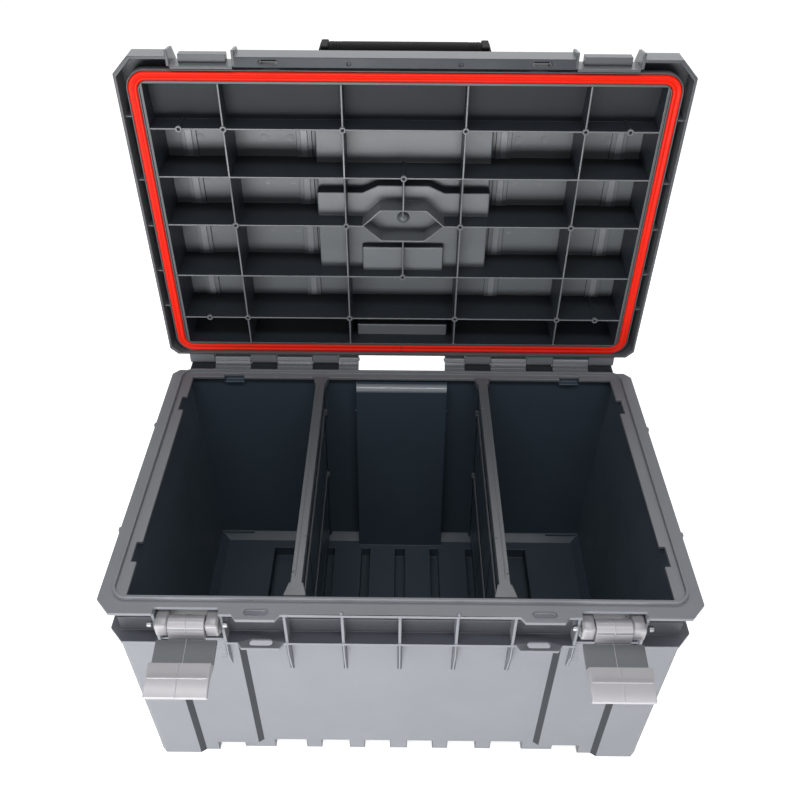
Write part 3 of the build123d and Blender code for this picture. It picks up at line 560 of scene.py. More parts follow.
def bar_rings(start: Vector, end: Vector, section: Sequence[tuple[float, float]], side: Vector, out: Vector,
              taper: float = 0.0) -> list[list[Vector]]:
    """The rings of a straight bar with drawn-in ends.

    Args:
        start: the middle of its first end, in millimetres.
        end: the middle of its last end.
        section: pairs of distances along side and out.
        side: the direction of the first of a pair.
        out: the direction of the second.
        taper: length over which each end is drawn in, in millimetres.

    Returns:
        Rings for swept.
    """
    along = (end - start).normalized()
    stations = [(start, 1.0), (end, 1.0)]
    if taper:
        full = [(start + along * taper, 1.0), (end - along * taper, 1.0)]
        stations = [(start, END_SHARE), *full, (end, END_SHARE)]
    return [[spot + (side * a + out * b) * share for a, b in section] for spot, share in stations]


def half_round(radius: float, steps: int = 8) -> list[tuple[float, float]]:
    """A half-round section on a flat foot."""
    angles = [math.pi * i / steps for i in range(steps + 1)]
    return [(radius * math.cos(angle), radius * math.sin(angle)) for angle in angles]


def finished(name: str, shape: bmesh.types.BMesh, sharp_degrees: float = SHARP_DEGREES) -> bpy.types.Object:
    """Makes a shaded object of a mesh whose faces are turned outward.

    Args:
        name: the piece's name.
        shape: the mesh in metres.
        sharp_degrees: edges above this angle stay sharp.

    Returns:
        The new object.
    """
    bmesh.ops.recalc_face_normals(shape, faces=shape.faces)
    return shade(mesh_object(name, shape), sharp_degrees)


def parting_line(source: bpy.types.Object, name: str, middle_x: float, radius: float) -> bpy.types.Object:
    """The fine line that a split mould leaves round a piece.

    Args:
        source: the moulded piece.
        name: the line's name.
        middle_x: where the mould splits, in millimetres on X.
        radius: the line's height in millimetres.

    Returns:
        The line as an object.
    """
    cut = bmesh.new()
    cut.from_mesh(source.data)
    everything = cut.verts[:] + cut.edges[:] + cut.faces[:]
    bmesh.ops.bisect_plane(cut, geom=everything, plane_co=(middle_x * MM, 0, 0), plane_no=(1, 0, 0),
                           clear_inner=True, clear_outer=True)
    curve = bpy.data.curves.new(name, "CURVE")
    curve.dimensions = "3D"
    curve.bevel_depth = radius * MM
    curve.bevel_resolution = 1
    left = dict.fromkeys(cut.edges)
    while left:
        edge = next(iter(left))
        del left[edge]
        path = [edge.verts[0], edge.verts[1]]
        grown = True
        while grown:
            grown = False
            for other in path[-1].link_edges:
                if other in left:
                    del left[other]
                    path.append(other.other_vert(path[-1]))
                    grown = True
                    break
        closed = path[0] is path[-1]
        points = path[:-1] if closed else path
        spline = curve.splines.new("POLY")
        spline.points.add(len(points) - 1)
        for point, vert in zip(spline.points, points):
            point.co = (*vert.co, 1.0)
        spline.use_cyclic_u = closed
    cut.free()
    drawn = link(bpy.data.objects.new(name + "_path", curve))
    bpy.context.view_layer.update()
    mesh = bpy.data.meshes.new_from_object(drawn)
    mesh.name = name
    bpy.data.objects.remove(drawn)
    bpy.data.curves.remove(curve)
    mesh.shade_smooth()
    return link(bpy.data.objects.new(name, mesh))


def paint(obj: bpy.types.Object, finishes: Sequence[Finish],
          choose: Callable[[Vector, Vector], Finish] | None = None) -> bpy.types.Object:
    """Gives an object its finishes.

    Args:
        obj: a mesh object.
        finishes: the finishes it takes.
        choose: picks one of them from a face's middle and normal; the first one without it.

    Returns:
        The same object.
    """
    obj.data.materials.clear()
    for finish in finishes:
        obj.data.materials.append(finish.material())
    if choose is not None:
        numbers = {finish: number for number, finish in enumerate(finishes)}
        for face in obj.data.polygons:
            face.material_index = numbers[choose(face.center, face.normal)]
    return obj


def place(obj: bpy.types.Object, body: str, slot: Slot, *nodes: str) -> bpy.types.Object:
    """Lets a piece ride on a body, and hides the CAD nodes that it stands for.

    Args:
        obj: the finished piece.
        body: the CAD body that carries it.
        slot: its material slot; not used.
        nodes: the CAD nodes that it replaces.

    Returns:
        The same object.
    """
    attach(obj, body)
    if nodes:
        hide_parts(*nodes)
    LOG.info("%s rides on %s", obj.name, body)
    return obj


class SubAssembly(ABC):
    """A group of pieces that is built and dressed together."""

    @abstractmethod
    def build(self) -> None:
        """Builds the group's meshes and dresses them."""


# The base
@dataclass
class CaseBase(SubAssembly):
    """The deep moulded base with its tub."""

    FINISHES: ClassVar[list[Finish]] = [
        SATIN_BASE, TUB_SHADE_CASE, DEEP_SHADE_CASE, END_WALL_SHADE_CASE, BELT_CASE, SPINE_HIGHLIGHT_CASE, PAINTED_LIGHT_CASE, BELT_WALL,
        BELT_FOOT]
    edge_radius: float = 0.7
    spine_top: Rounding = Rounding(low=(-58.6, 130.0, 262.0), high=(58.6, 158.0, 278.0), radius=7.0)
    mouth_half: float = 272.0
    wall_lean: float = 18.0
    front: float = -169.5
    back_top: float = 170.5
    back_lean: float = 42.0
    floor_top: float = 20.0
    flange_bottom: float = 280.0
    belt_low: float = 233.0
    belt_high: float = 281.0
    belt_front: float = -184.0
    belt_back: float = -150.0
    rib_tilt: float = 0.6
    step_top: float = 254.0
    step_slack: float = 1.5
    skin_front: float = -174.0
    band_top: float = 229.0
    band_half: float = 235.0
    band_tilt: tuple[float, float] = (0.35, 0.9)
    spine_half: float = 57.6
    spine_low: float = 266.0
    spine_under: float = 275.0
    spine_wall: float = 3.0
    spine_depth: float = 15.0
    shoulder_tilt: tuple[float, float] = (0.2, 0.97)
    end_wall: float = 240.0
    hinge_front: float = 178.0
    hinge_low: float = 276.0

    def inside(self, point: Vector) -> bool:
        """Whether a point in metres lies in the tub's hollow.

        Args:
            point: a place just off a face.

        Returns:
            True inside the tub below the flange.
        """
        x, y, z = (c / MM for c in point)
        share = (self.flange_bottom - z) / (self.flange_bottom - self.floor_top)
        half = self.mouth_half - self.wall_lean * share
        back = self.back_top - self.back_lean * share
        if abs(x) < self.spine_half - self.spine_wall and z < self.spine_under:
            back -= self.spine_depth
        return 0 < z < self.flange_bottom and abs(x) < half and self.front < y < back

    def tub_finish(self, out: float, z: float, normal: Vector) -> Finish:
        """The finish of a face inside the tub: painted shade, paler on the end walls, and a painted
        highlight on the spine's shoulder.

        Args:
            out: the face's distance from the middle of the case, in millimetres.
            z: its height.
            normal: its outward direction.

        Returns:
            One of FINISHES.
        """
        low, high = self.shoulder_tilt
        if out < self.spine_half and z > self.spine_low and low < normal.z < high:
            return SPINE_HIGHLIGHT_CASE
        return END_WALL_SHADE_CASE if abs(normal.x) > SQUARELY and out > self.end_wall else TUB_SHADE_CASE

    def finish_of(self, middle: Vector, normal: Vector) -> Finish:
        """The finish of a face, with painted light on the hinge and the belt's step, and painted shade in
        the tub, on the front's sloped bands and on the belt.

        Args:
            middle: the face's middle in metres.
            normal: its outward direction.

        Returns:
            One of FINISHES.
        """
        x, y, z = (c / MM for c in middle)
        if y > self.hinge_front and z > self.hinge_low:
            return PAINTED_LIGHT_CASE
        if self.inside(middle + normal * MM):
            return self.tub_finish(abs(x), z, normal)
        low, high = self.band_tilt
        sloped = low < abs(normal.x) < high
        if sloped and y < self.skin_front and z < self.band_top and abs(x) < self.band_half:
            return DEEP_SHADE_CASE
        # The belt under the flange takes painted shade, and its step a painted light line.
        belt = self.belt_low < z < self.belt_high and self.belt_front < y < self.belt_back
        if not belt or abs(normal.x) > self.rib_tilt:
            return SATIN_BASE
        if normal.z > HALFWAY and abs(z - self.step_top) < self.step_slack:
            return PAINTED_LIGHT_CASE
        if normal.y < -SQUARELY:
            return BELT_WALL if z > self.step_top else BELT_FOOT
        return BELT_CASE

    def build(self) -> None:
        """The base with soft edges, and a wide rounding along the spine's top."""
        shell = softened("base_shell", "base_moulding", self.edge_radius, [self.spine_top])
        paint(shell, self.FINISHES, self.finish_of)
        place(shell, "base", Slot.CASE, "base_shell")


# The lid
@dataclass
class CaseLid(SubAssembly):
    """The moulded lid with its rib grid, open at rest.

    Depths behind the front bead and heights above the rim are in millimetres, as the lid lies when shut.
    """

    FINISHES: ClassVar[list[Finish]] = [SATIN_LID, DARK_LID, RIM_LID, DEEP_SHADE_CASE, PAINTED_LIGHT_CASE]
    edge_radius: float = 0.5
    recess_radius: float = 2.2
    handle_half: float = 101.0
    handle_depths: tuple[float, float] = (64.0, 266.0)
    handle_heights: tuple[float, float] = (12.0, 46.0)
    rear_half: float = 58.0
    rear_depths: tuple[float, float] = (318.0, 337.0)
    rear_heights: tuple[float, float] = (12.0, 30.0)
    tray_half: float = 268.0
    tray_low: float = 318.0
    tray_high: float = 647.5
    roof_face: float = 246.0
    roof_slack: float = 6.0
    rim_face: float = 190.0
    bead_z: float = 655.2
    bead_y: float = 188.7
    rib_edge: float = 2.0
    ledge_back: float = 60.0
    hinge_top: float = 300.0
    bar_low: float = 663.0
    bar_half: float = 170.0
    ring_half: float = 48.0
    ring_span: tuple[float, float] = (148.0, 192.0)
    post_grid_x: tuple[float, ...] = (65.0, 191.0)
    post_grid_d: tuple[float, ...] = (56.3, 170.5, 299.2)
    side_post_x: float = 238.0
    middle_post_d: tuple[float, ...] = (111.2, 238.4)
    cap_profile: tuple[tuple[float, float], ...] = (
        (3.2, -3.0), (3.7, -1.0), (3.7, 0.6), (3.3, 1.0), (2.1, 1.0), (1.8, 0.7), (1.7, 0.15))
    bore_level: float = 0.3
    mark_grid_x: tuple[float, ...] = (128.0, 158.0, 229.0)
    mark_grid_d: tuple[float, ...] = (88.0, 141.0, 204.0, 268.0)
    mark_profile: tuple[tuple[float, float], ...] = ((4.2, -0.3), (4.2, 0.25), (3.5, 0.25), (3.3, 0.08))
    mark_outlook: float = -20.0
    strip_x: tuple[float, ...] = (112.5, 242.0)
    strip_rows: tuple[float, ...] = (56.3, 111.2, 170.5, 238.4, 299.2)
    strip_half: float = 4.0
    strip_height: float = 1.5
    strip_root: float = 0.3
    strip_chamfer: float = 0.6
    strip_gap: float = 1.6

    def spot(self, x: float, behind: float, height: float) -> Vector:
        """A place in the open lid from its place behind the front bead and above the rim."""
        return Vector((x, self.bead_y + height, self.bead_z - behind))

    def recess(self, half: float, depths: tuple[float, float], heights: tuple[float, float]) -> Rounding:
        """The wider rounding of a recess that shows on the inside.

        Args:
            half: half its width, in millimetres.
            depths: where it starts and ends behind the front bead.
            heights: where it starts and ends above the rim.

        Returns:
            The rounding's place and radius.
        """
        low = (-half, self.bead_y + heights[0], self.bead_z - depths[1])
        high = (half, self.bead_y + heights[1], self.bead_z - depths[0])
        return Rounding(low, high, self.recess_radius)

    def finish_of(self, middle: Vector, normal: Vector) -> Finish:
        """The finish of a face, with painted light on the knuckles and upper edges, and painted shade on the
        rim, the front bar, the ribs' flanks and the first row of the roof.

        Args:
            middle: the face's middle in metres.
            normal: its outward direction.

        Returns:
            One of FINISHES.
        """
        x, y, z = (c / MM for c in middle + normal * MM)
        if z < self.hinge_top or (z > self.tray_high and normal.z > SQUARELY):
            return PAINTED_LIGHT_CASE
        if z > self.bar_low and abs(x) < self.bar_half and normal.y < -SLIGHTLY:
            return DARK_LID
        if not (abs(x) < self.tray_half and self.tray_low < z < self.tray_high):
            return RIM_LID if normal.y < -SLIGHTLY else SATIN_LID
        behind = self.bead_z - z
        low, high = self.ring_span
        ring = abs(x) < self.ring_half and low < behind < high
        if ring or not self.rim_face < y < self.roof_face:
            return SATIN_LID
        if abs(normal.y) < HALFWAY:
            return DARK_LID
        return DEEP_SHADE_CASE if behind < self.ledge_back else SATIN_LID

    def cap_finish(self, middle: Vector, normal: Vector) -> Finish:
        """The finish of a face on a post's cap, with painted shade on the bore's shallow floor."""
        deep = middle.y > (self.bead_y + self.rib_edge - self.bore_level) * MM
        return HANDLE_NYLON if deep and normal.y < -FLAT else SATIN_LID

    def post_caps(self) -> None:
        """Bored bosses on the ends of the posts."""
        first, *_, last = self.post_grid_d
        spots = [(sign * x, d) for sign in ENDS for x in self.post_grid_x for d in self.post_grid_d]
        spots += [(sign * self.side_post_x, d) for sign in ENDS for d in (first, last)]
        spots += [(0.0, d) for d in self.middle_post_d]
        shape = bmesh.new()
        for x, d in spots:
            turned(shape, self.cap_profile, self.spot(x, d, self.rib_edge), FORWARD, steps=16)
        caps = paint(finished("lid_post_caps", shape), [SATIN_LID, HANDLE_NYLON], self.cap_finish)
        place(caps, "lid", Slot.CASE)

    def pin_marks(self, shell: bpy.types.Object) -> None:
        """Faint rings that the mould's ejector pins leave on the roof.

        Args:
            shell: the lid's moulding.
        """
        shape = bmesh.new()
        for x in self.mark_grid_x:
            for d in self.mark_grid_d:
                for sign in ENDS:
                    start = self.spot(sign * x, d, self.mark_outlook) * MM
                    hit, point, normal, _ = shell.ray_cast(start, BACKWARD)
                    if hit and normal.y < -FLAT and point.y > (self.roof_face - self.roof_slack) * MM:
                        turned(shape, self.mark_profile, point / MM, FORWARD, steps=24)
        place(paint(finished("lid_pin_marks", shape), [SATIN_LID]), "lid", Slot.CASE)

    def roof_strips(self, shell: bpy.types.Object) -> None:
        """Flat strips that stiffen the roof between the cross ribs.

        Args:
            shell: the lid's moulding.
        """
        shape = bmesh.new()
        half, tall, cut = self.strip_half, self.strip_height, self.strip_chamfer
        section = [(half, -self.strip_root), (half, tall - cut), (half - cut, tall),
                   (cut - half, tall), (-half, tall - cut), (-half, -self.strip_root)]
        for near, far in zip(self.strip_rows, self.strip_rows[1:]):
            for x in self.strip_x + tuple(-x for x in self.strip_x):
                start = self.spot(x, (near + far) / 2, self.rib_edge) * MM
                hit, point, normal, _ = shell.ray_cast(start, BACKWARD)
                if hit and normal.y < -FLAT:
                    one, two = (Vector((x, point.y / MM, self.bead_z - d))
                                for d in (near + self.strip_gap, far - self.strip_gap))
                    swept(shape, bar_rings(one, two, section, ACROSS, FORWARD))
        # The strips take painted light.
        place(paint(finished("lid_roof_strips", shape), [PAINTED_LIGHT_CASE]), "lid", Slot.CASE)

    def build(self) -> None:
        """The lid with soft edges, its posts' caps, its pin marks and its roof strips."""
        handle = self.recess(self.handle_half, self.handle_depths, self.handle_heights)
        rear = self.recess(self.rear_half, self.rear_depths, self.rear_heights)
        shell = softened("lid_shell", "lid_moulding", self.edge_radius, [handle, rear])
        self.pin_marks(shell)
        self.roof_strips(shell)
        paint(shell, self.FINISHES, self.finish_of)
        place(shell, "lid", Slot.CASE, "lid_shell")
        self.post_caps()


@dataclass
class LidSeal(SubAssembly):
    """The red sponge seal in the lid's groove."""

    CORNERS: ClassVar[tuple[tuple[int, int, int], ...]] = (
        (1, -1, -90), (1, 1, 0), (-1, 1, 90), (-1, -1, 180))
    SHOULDER_DEGREES: ClassVar[tuple[int, ...]] = (0, 30, 60, 90)
    half_width: float = 278.0
    half_depth: float = 172.5
    corner: float = 15.0
    middle_z: float = 482.7
    seat_y: float = 194.7
    height: float = 5.7
    band: float = 9.6
    crown: float = 1.8
    dip: float = 1.0
    dip_share: float = 0.3
    dip_floor_share: float = 0.12
    seam_gap: float = 0.6
    corner_steps: int = 10
    sharp_degrees: float = 50.0

    def route(self) -> list[tuple[Vector, Vector]]:
        """The seal's centre line from one side of its butt joint to the other.

        Returns:
            Points in the lid's plane with their outward directions, in millimetres.
        """
        ends = self.seam_gap / 2
        flat_x, flat_z = self.half_width - self.corner, self.half_depth - self.corner
        points = [(Vector((ends, -self.half_depth)), Vector((0, -1)))]
        for sx, sz, start in self.CORNERS:
            for step in range(self.corner_steps + 1):
                angle = math.radians(start + 90 * step / self.corner_steps)
                out = Vector((math.cos(angle), math.sin(angle)))
                points.append((Vector((sx * flat_x, sz * flat_z)) + out * self.corner, out))
        points.append((Vector((-ends, -self.half_depth)), Vector((0, -1))))
        return points

    def section(self) -> list[tuple[float, float]]:
        """The seal's cut face, with rounded shoulders and a shallow dip.

        Returns:
            Distances across the groove and out of it, in millimetres.
        """
        half, crown = self.band / 2, self.crown
        angles = [math.radians(degrees) for degrees in self.SHOULDER_DEGREES]
        inner, below = half - crown, self.height - crown
        right = [(inner + crown * math.cos(angle), below + crown * math.sin(angle)) for angle in angles]
        right.append((half * self.dip_share, self.height))
        right.append((half * self.dip_floor_share, self.height - self.dip))
        return [(half, 0.0)] + right + [(-x, h) for x, h in reversed(right)] + [(-half, 0.0)]

    def build(self) -> None:
        """Sweeps the section along the route."""
        shape = bmesh.new()
        rings = []
        for point, out in self.route():
            ring = []
            for across, height in self.section():
                spot = point + out * across
                ring.append(Vector((spot.x, self.seat_y - height, spot.y + self.middle_z)))
            rings.append(ring)
        swept(shape, rings)
        seal = finished("seal_cord", shape, self.sharp_degrees)
        place(paint(seal, [RED_SEAL]), "lid", Slot.SEAL, "lid_seal")


# Dividers
@dataclass
class Divider(SubAssembly):
    """A lift-out divider: board with two stiffening beads, and a cap rail with studs."""

    side: Side
    edge_radius: float = 0.6
    middle: float = 102.0
    board_half: float = 2.5
    bead_levels: tuple[float, ...] = (236.0, 138.0)
    bead_radius: float = 1.6
    bead_front: float = -150.0
    bead_taper: float = 3.0
    wall_top: float = 169.5
    wall_lean: float = 42.0 / 252.0
    wall_level: float = 280.0
    guide_room: float = 12.0
    nub_radius: float = 2.4
    nub_waist: float = 0.7
    nub_lobes: tuple[tuple[float, float], ...] = ((-3.6, -1.6), (-0.2, 1.2), (2.6, 3.8))
    nub_slope: float = 0.4
    nub_proud: float = 0.6
    rail_top: float = 285.5
    rail_bead_offset: float = 1.5
    rail_bead_half: float = 146.0
    rail_bead_root: float = 0.1
    rail_bead_radius: float = 0.7
    rail_bead_taper: float = 2.0
    block_neck: float = 7.0
    block_front: float = -160.0
    block_back: float = 154.0
    stud_radius: float = 1.2
    stud_dome: tuple[tuple[float, float], ...] = ((1.0, -0.4), (1.0, 0.2), (0.8, 0.7), (0.4, 1.0))
    studs: tuple[tuple[float, float], ...] = (
        (5.4, 153.0), (-8.2, 157.0), (-3.6, 105.0), (-3.4, -95.0), (4.0, -140.0))

    def nub(self) -> list[tuple[float, float]]:
        """The profile of a nub with notches between its lobes.

        Returns:
            Radius and height pairs for turned.
        """
        wide, slope = self.nub_radius, self.nub_slope
        narrow = wide * self.nub_waist
        profile = []
        for low, high in self.nub_lobes:
            profile += [(narrow, low - slope), (wide, low), (wide, high), (narrow, high + slope)]
        return profile

    def beads(self) -> bpy.types.Object:
        """Half-round beads along the board's middle side, each with a notched nub at its back end.

        Returns:
            The beads as one object.
        """
        shape = bmesh.new()
        inward = Vector((-self.side.sign, 0, 0))
        face = self.side.sign * (self.middle - self.board_half)
        for level in self.bead_levels:
            back = self.wall_top - self.wall_lean * (self.wall_level - level) - self.guide_room
            start, end = Vector((face, self.bead_front, level)), Vector((face, back, level))
            swept(shape, bar_rings(start, end, half_round(self.bead_radius), UP, inward, self.bead_taper))
            turned(shape, self.nub(), end + inward * self.nub_radius * self.nub_proud, UP, steps=14)
        return finished(f"divider_beads_{self.side.word}", shape)

    def rail_studs(self) -> bpy.types.Object:
        """Domed studs and a fine bead on the rail's top.

        Returns:
            The studs as one object.
        """
        shape = bmesh.new()
        dome = [(self.stud_radius * share, height) for share, height in self.stud_dome]
        for across, y in self.studs:
            spot = Vector((self.side.sign * (self.middle + across), y, self.rail_top))
            turned(shape, dome, spot, UP, steps=12)
        x = self.side.sign * (self.middle + self.rail_bead_offset)
        foot = self.rail_top - self.rail_bead_root
        start, end = (Vector((x, sign * self.rail_bead_half, foot)) for sign in ENDS)
        section = half_round(self.rail_bead_radius)
        swept(shape, bar_rings(start, end, section, ACROSS, UP, self.rail_bead_taper))
        return finished(f"divider_studs_{self.side.word}", shape)

    def flare(self, rail: bpy.types.Object) -> None:
        """Draws in the inner corners of the rail's end blocks, so that they widen to the wall.

        Args:
            rail: the cap rail.
        """
        centre = self.side.sign * self.middle
        for vert in rail.data.vertices:
            across = vert.co.x / MM - centre
            inner = self.block_front < vert.co.y / MM < self.block_back
            if abs(across) > self.block_neck and inner:
                vert.co.x = (centre + math.copysign(self.block_neck, across)) * MM

    def build(self) -> None:
        """Board and rail with soft edges, beads and studs."""
        word = self.side.word
        body = f"divider_{word}"
        board = softened(f"divider_panel_{word}", f"divider_board_{word}", self.edge_radius)
        # The board takes the tub's painted shade.
        place(paint(board, [TUB_SHADE_CASE]), body, Slot.CASE, f"divider_panel_{word}")
        rail = softened(f"divider_rail_{word}", f"divider_cap_{word}", self.edge_radius)
        self.flare(rail)
        place(paint(rail, [RAIL_CASE]), body, Slot.CASE, f"divider_rail_{word}")
        place(paint(self.beads(), [RAIL_CASE]), body, Slot.CASE)
        place(paint(self.rail_studs(), [RAIL_CASE]), body, Slot.CASE)


# Latches
@dataclass
class Latch(SubAssembly):
    """A latch: bracket, lever, pin and screws."""

    side: Side
    middle: float = 204.0
    axis_y: float = -188.5
    axis_z: float = 266.0
    edge_radius: float = 0.9
    cheek_radius: float = 2.8
    cheek_half: float = 32.0
    cheek_ahead: float = 12.0
    cheek_behind: float = 6.0
    cheek_rise: float = 10.0
    line_radius: float = 0.45
    hook_y: float = -224.0
    neck_y: float = -196.5
    bead_half: float = 28.0
    bead_y: float = -241.5
    bead_radius: float = 1.0
    bead_root: float = 0.2
    bead_taper: float = 1.5
    bead_outlook: float = 30.0
    pin_radius: float = 3.0
    pin_end: float = 34.5
    pin_proud: float = 4.5
    pin_dome: tuple[tuple[float, float], ...] = ((1.0, 1.4), (0.85, 0.5), (0.5, 0.0))
    louvre_levels: tuple[float, ...] = (198.0, 203.5, 209.0, 214.5, 220.0)
    louvre_inner: float = 22.5
    louvre_outer: float = 31.5
    louvre_radius: float = 1.4
    louvre_root: float = 0.5
    louvre_taper: float = 1.0
    skin_y: float = -180.6
    screw_dome: tuple[tuple[float, float], ...] = ((1.0, -1.7), (1.0, -1.0), (0.9, -0.4), (0.5, 0.0))
    shank_share: float = 0.52
    cross_long: float = 0.55
    cross_wide: float = 0.14
    cross_depth: float = 1.1
    cross_over: float = 1.0

    @property
    def centre(self) -> float:
        """The latch's middle on X, in millimetres."""
        return self.side.sign * self.middle

    def finish_of(self, middle: Vector, normal: Vector) -> Finish:
        """The finish of a lever's face, with painted shade in the hollow between barrel and hook."""
        hollow = self.hook_y < middle.y / MM < self.neck_y and normal.z > SLIGHTLY
        return NECK_NYLON if hollow else LATCH_NYLON

    def grip_bead(self, lever: bpy.types.Object) -> bpy.types.Object:
        """A fine bead across the lever's plate, where a finger pulls.

        Args:
            lever: the lever, open.

        Returns:
            The bead, seated on the plate.
        """
        shape = bmesh.new()
        above = Vector((self.centre + self.bead_half / 2, self.bead_y, self.axis_z + self.bead_outlook)) * MM
        _, seat, up, _ = lever.ray_cast(above, DOWN)
        spot = Vector((self.centre, seat.y / MM, seat.z / MM)) - up * self.bead_root
        across = Vector((self.bead_half, 0, 0))
        along = up.cross(across).normalized()
        section = half_round(self.bead_radius)
        swept(shape, bar_rings(spot - across, spot + across, section, along, up, self.bead_taper))
        return finished(f"latch_bead_{self.side.word}", shape)

    def cheeks(self) -> Rounding:
        """The wide chamfers round the bracket's square cheeks.

        Returns:
            Their place and radius.
        """
        x, y, z = self.centre, self.axis_y, self.axis_z
        low = (x - self.cheek_half, y - self.cheek_ahead, z - self.cheek_rise)
        high = (x + self.cheek_half, y + self.cheek_behind, z + self.cheek_rise)
        return Rounding(low, high, self.cheek_radius)

    def pin_ends(self) -> bpy.types.Object:
        """The pin's riveted ends outside the two fins.

        Returns:
            The ends as one object.
        """
        shape = bmesh.new()
        profile = [(self.pin_radius, 0.0)]
        profile += [(self.pin_radius * share, self.pin_proud - below) for share, below in self.pin_dome]
        for end in ENDS:
            spot = Vector((self.centre + end * self.pin_end, self.axis_y, self.axis_z))
            turned(shape, profile, spot, ACROSS * end, steps=18)
        return finished(f"latch_pin_ends_{self.side.word}", shape)

    def louvres(self) -> bpy.types.Object:
        """Small ridges on the base beside the lever, where a thumb gets hold.

        Returns:
            The ridges as one object.
        """
        shape = bmesh.new()
        section = half_round(self.louvre_radius)
        foot = self.skin_y + self.louvre_root
        for end in ENDS:
            near, far = (self.centre + end * out for out in (self.louvre_inner, self.louvre_outer))
            for level in self.louvre_levels:
                start, stop = Vector((near, foot, level)), Vector((far, foot, level))
                swept(shape, bar_rings(start, stop, section, UP, FORWARD, self.louvre_taper))
        return finished(f"latch_louvres_{self.side.word}", shape)

    def screw_heads(self) -> bpy.types.Object:
        """The bracket's screws with a cross recess.

        Returns:
            Both screws as one object.
        """
        low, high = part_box(f"latch_screws_{self.side.word}")
        radius = (high[2] - low[2]) / 2 / MM
        front, back = low[1] / MM, high[1] / MM
        level = (high[2] + low[2]) / 2 / MM
        places = (low[0] / MM + radius, high[0] / MM - radius)
        shank = radius * self.shank_share
        head = [(radius * share, height) for share, height in self.screw_dome]
        shape = bmesh.new()
        for x in places:
            profile = [(shank, front - back), (shank, head[0][1])] + head
            turned(shape, profile, Vector((x, front, level)), FORWARD, steps=24)
        screws = finished(f"latch_screw_heads_{self.side.word}", shape)
        cross = bmesh.new()
        long, wide = radius * self.cross_long, radius * self.cross_wide
        arms = [(long, wide), (wide, wide), (wide, long), (-wide, long), (-wide, wide), (-long, wide),
                (-long, -wide), (-wide, -wide), (-wide, -long), (wide, -long), (wide, -wide), (long, -wide)]
        for x in places:
            swept(cross, [[Vector((x + a, y, level + b)) for a, b in arms]
                          for y in (front + self.cross_depth, front - self.cross_over)])
        bmesh.ops.recalc_face_normals(cross, faces=cross.faces)
        cutter = mesh_object("cross_cutter", cross)
        cut = screws.modifiers.new("cross_recess", "BOOLEAN")
        cut.operation = "DIFFERENCE"
        cut.solver = "EXACT"
        cut.object = cutter
        settle(screws)
        bpy.data.objects.remove(cutter)
        return screws

    def build(self) -> None:
        """Bracket and lever with soft edges, parting lines, steel ends and screws."""
        word = self.side.word
        body = f"latch_{word}"
        bracket = softened(f"latch_bracket_{word}", f"latch_mount_{word}", self.edge_radius, [self.cheeks()])
        place(paint(bracket, [LATCH_NYLON]), "base", Slot.LATCH, f"latch_bracket_{word}")
        lever = softened(f"latch_lever_{word}", f"latch_arm_{word}", self.edge_radius)
        line = parting_line(lever, f"latch_line_{word}", self.centre, self.line_radius)
        paint(lever, [LATCH_NYLON, NECK_NYLON], self.finish_of)
        place(lever, body, Slot.LATCH, f"latch_lever_{word}")
        bead = self.grip_bead(lever)
        place(paint(line, [LATCH_NYLON]), body, Slot.LATCH)
        place(paint(bead, [LATCH_NYLON]), body, Slot.LATCH)
        place(paint(self.louvres(), [SATIN_BASE]), "base", Slot.CASE)
        place(paint(self.pin_ends(), [PIN_STEEL]), "base", Slot.STEEL)
        place(paint(self.screw_heads(), [PIN_STEEL]), "base", Slot.STEEL, f"latch_screws_{word}")
        paint(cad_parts[f"latch_pin_{word}"], [PIN_STEEL])


# Hinges
@dataclass
class Hinge(SubAssembly):
    """A hinge pin in its knuckles, and the base's apron under the lid's knuckles."""

    side: Side
    end_proud: float = 1.2
    end_dome: tuple[tuple[float, float], ...] = ((0.5, 1.0), (0.9, 0.5), (1.0, 0.0))
    lid_knuckles: tuple[tuple[float, float], ...] = ((239.2, 271.0), (159.6, 193.9), (80.7, 114.4))
    apron_front: float = 174.5
    apron_back: float = 194.5
    apron_low: float = 280.4
    apron_top: float = 283.2
    tip_steps: int = 6

    def apron(self) -> bpy.types.Object:
        """A thin rounded lip behind the flange under each of the lid's knuckles.

        Returns:
            The lips as one object.
        """
        shape = bmesh.new()
        tip = (self.apron_top - self.apron_low) / 2
        middle = (self.apron_top + self.apron_low) / 2
        outline = [(self.apron_front, self.apron_low), (self.apron_front, self.apron_top)]
        for step in range(self.tip_steps + 1):
            angle = math.radians(90 - 180 * step / self.tip_steps)
            outline.append((self.apron_back - tip + tip * math.cos(angle), middle + tip * math.sin(angle)))
        for near, far in self.lid_knuckles:
            swept(shape, [[Vector((self.side.sign * x, y, z)) for y, z in outline] for x in (near, far)])
        return finished(f"hinge_apron_{self.side.word}", shape)

    def build(self) -> None:
        """The pin with riveted ends, and the apron."""
        # The lips take deep painted shade.
        place(paint(self.apron(), [DEEP_SHADE_CASE]), "base", Slot.CASE)
        node = f"hinge_pin_{self.side.word}"
        low, high = (Vector(corner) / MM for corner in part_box(node))
        radius = (high.z - low.z) / 2
        long = high.x - low.x
        profile = [(radius * share, -self.end_proud * out) for share, out in self.end_dome]
        profile += [(radius * share, long + self.end_proud * out) for share, out in reversed(self.end_dome)]
        shape = bmesh.new()
        foot = Vector((low.x, (low.y + high.y) / 2, (low.z + high.z) / 2))
        turned(shape, profile, foot, ACROSS, steps=20)
        place(paint(finished(f"hinge_wire_{self.side.word}", shape), [PIN_STEEL]), "base", Slot.STEEL, node)


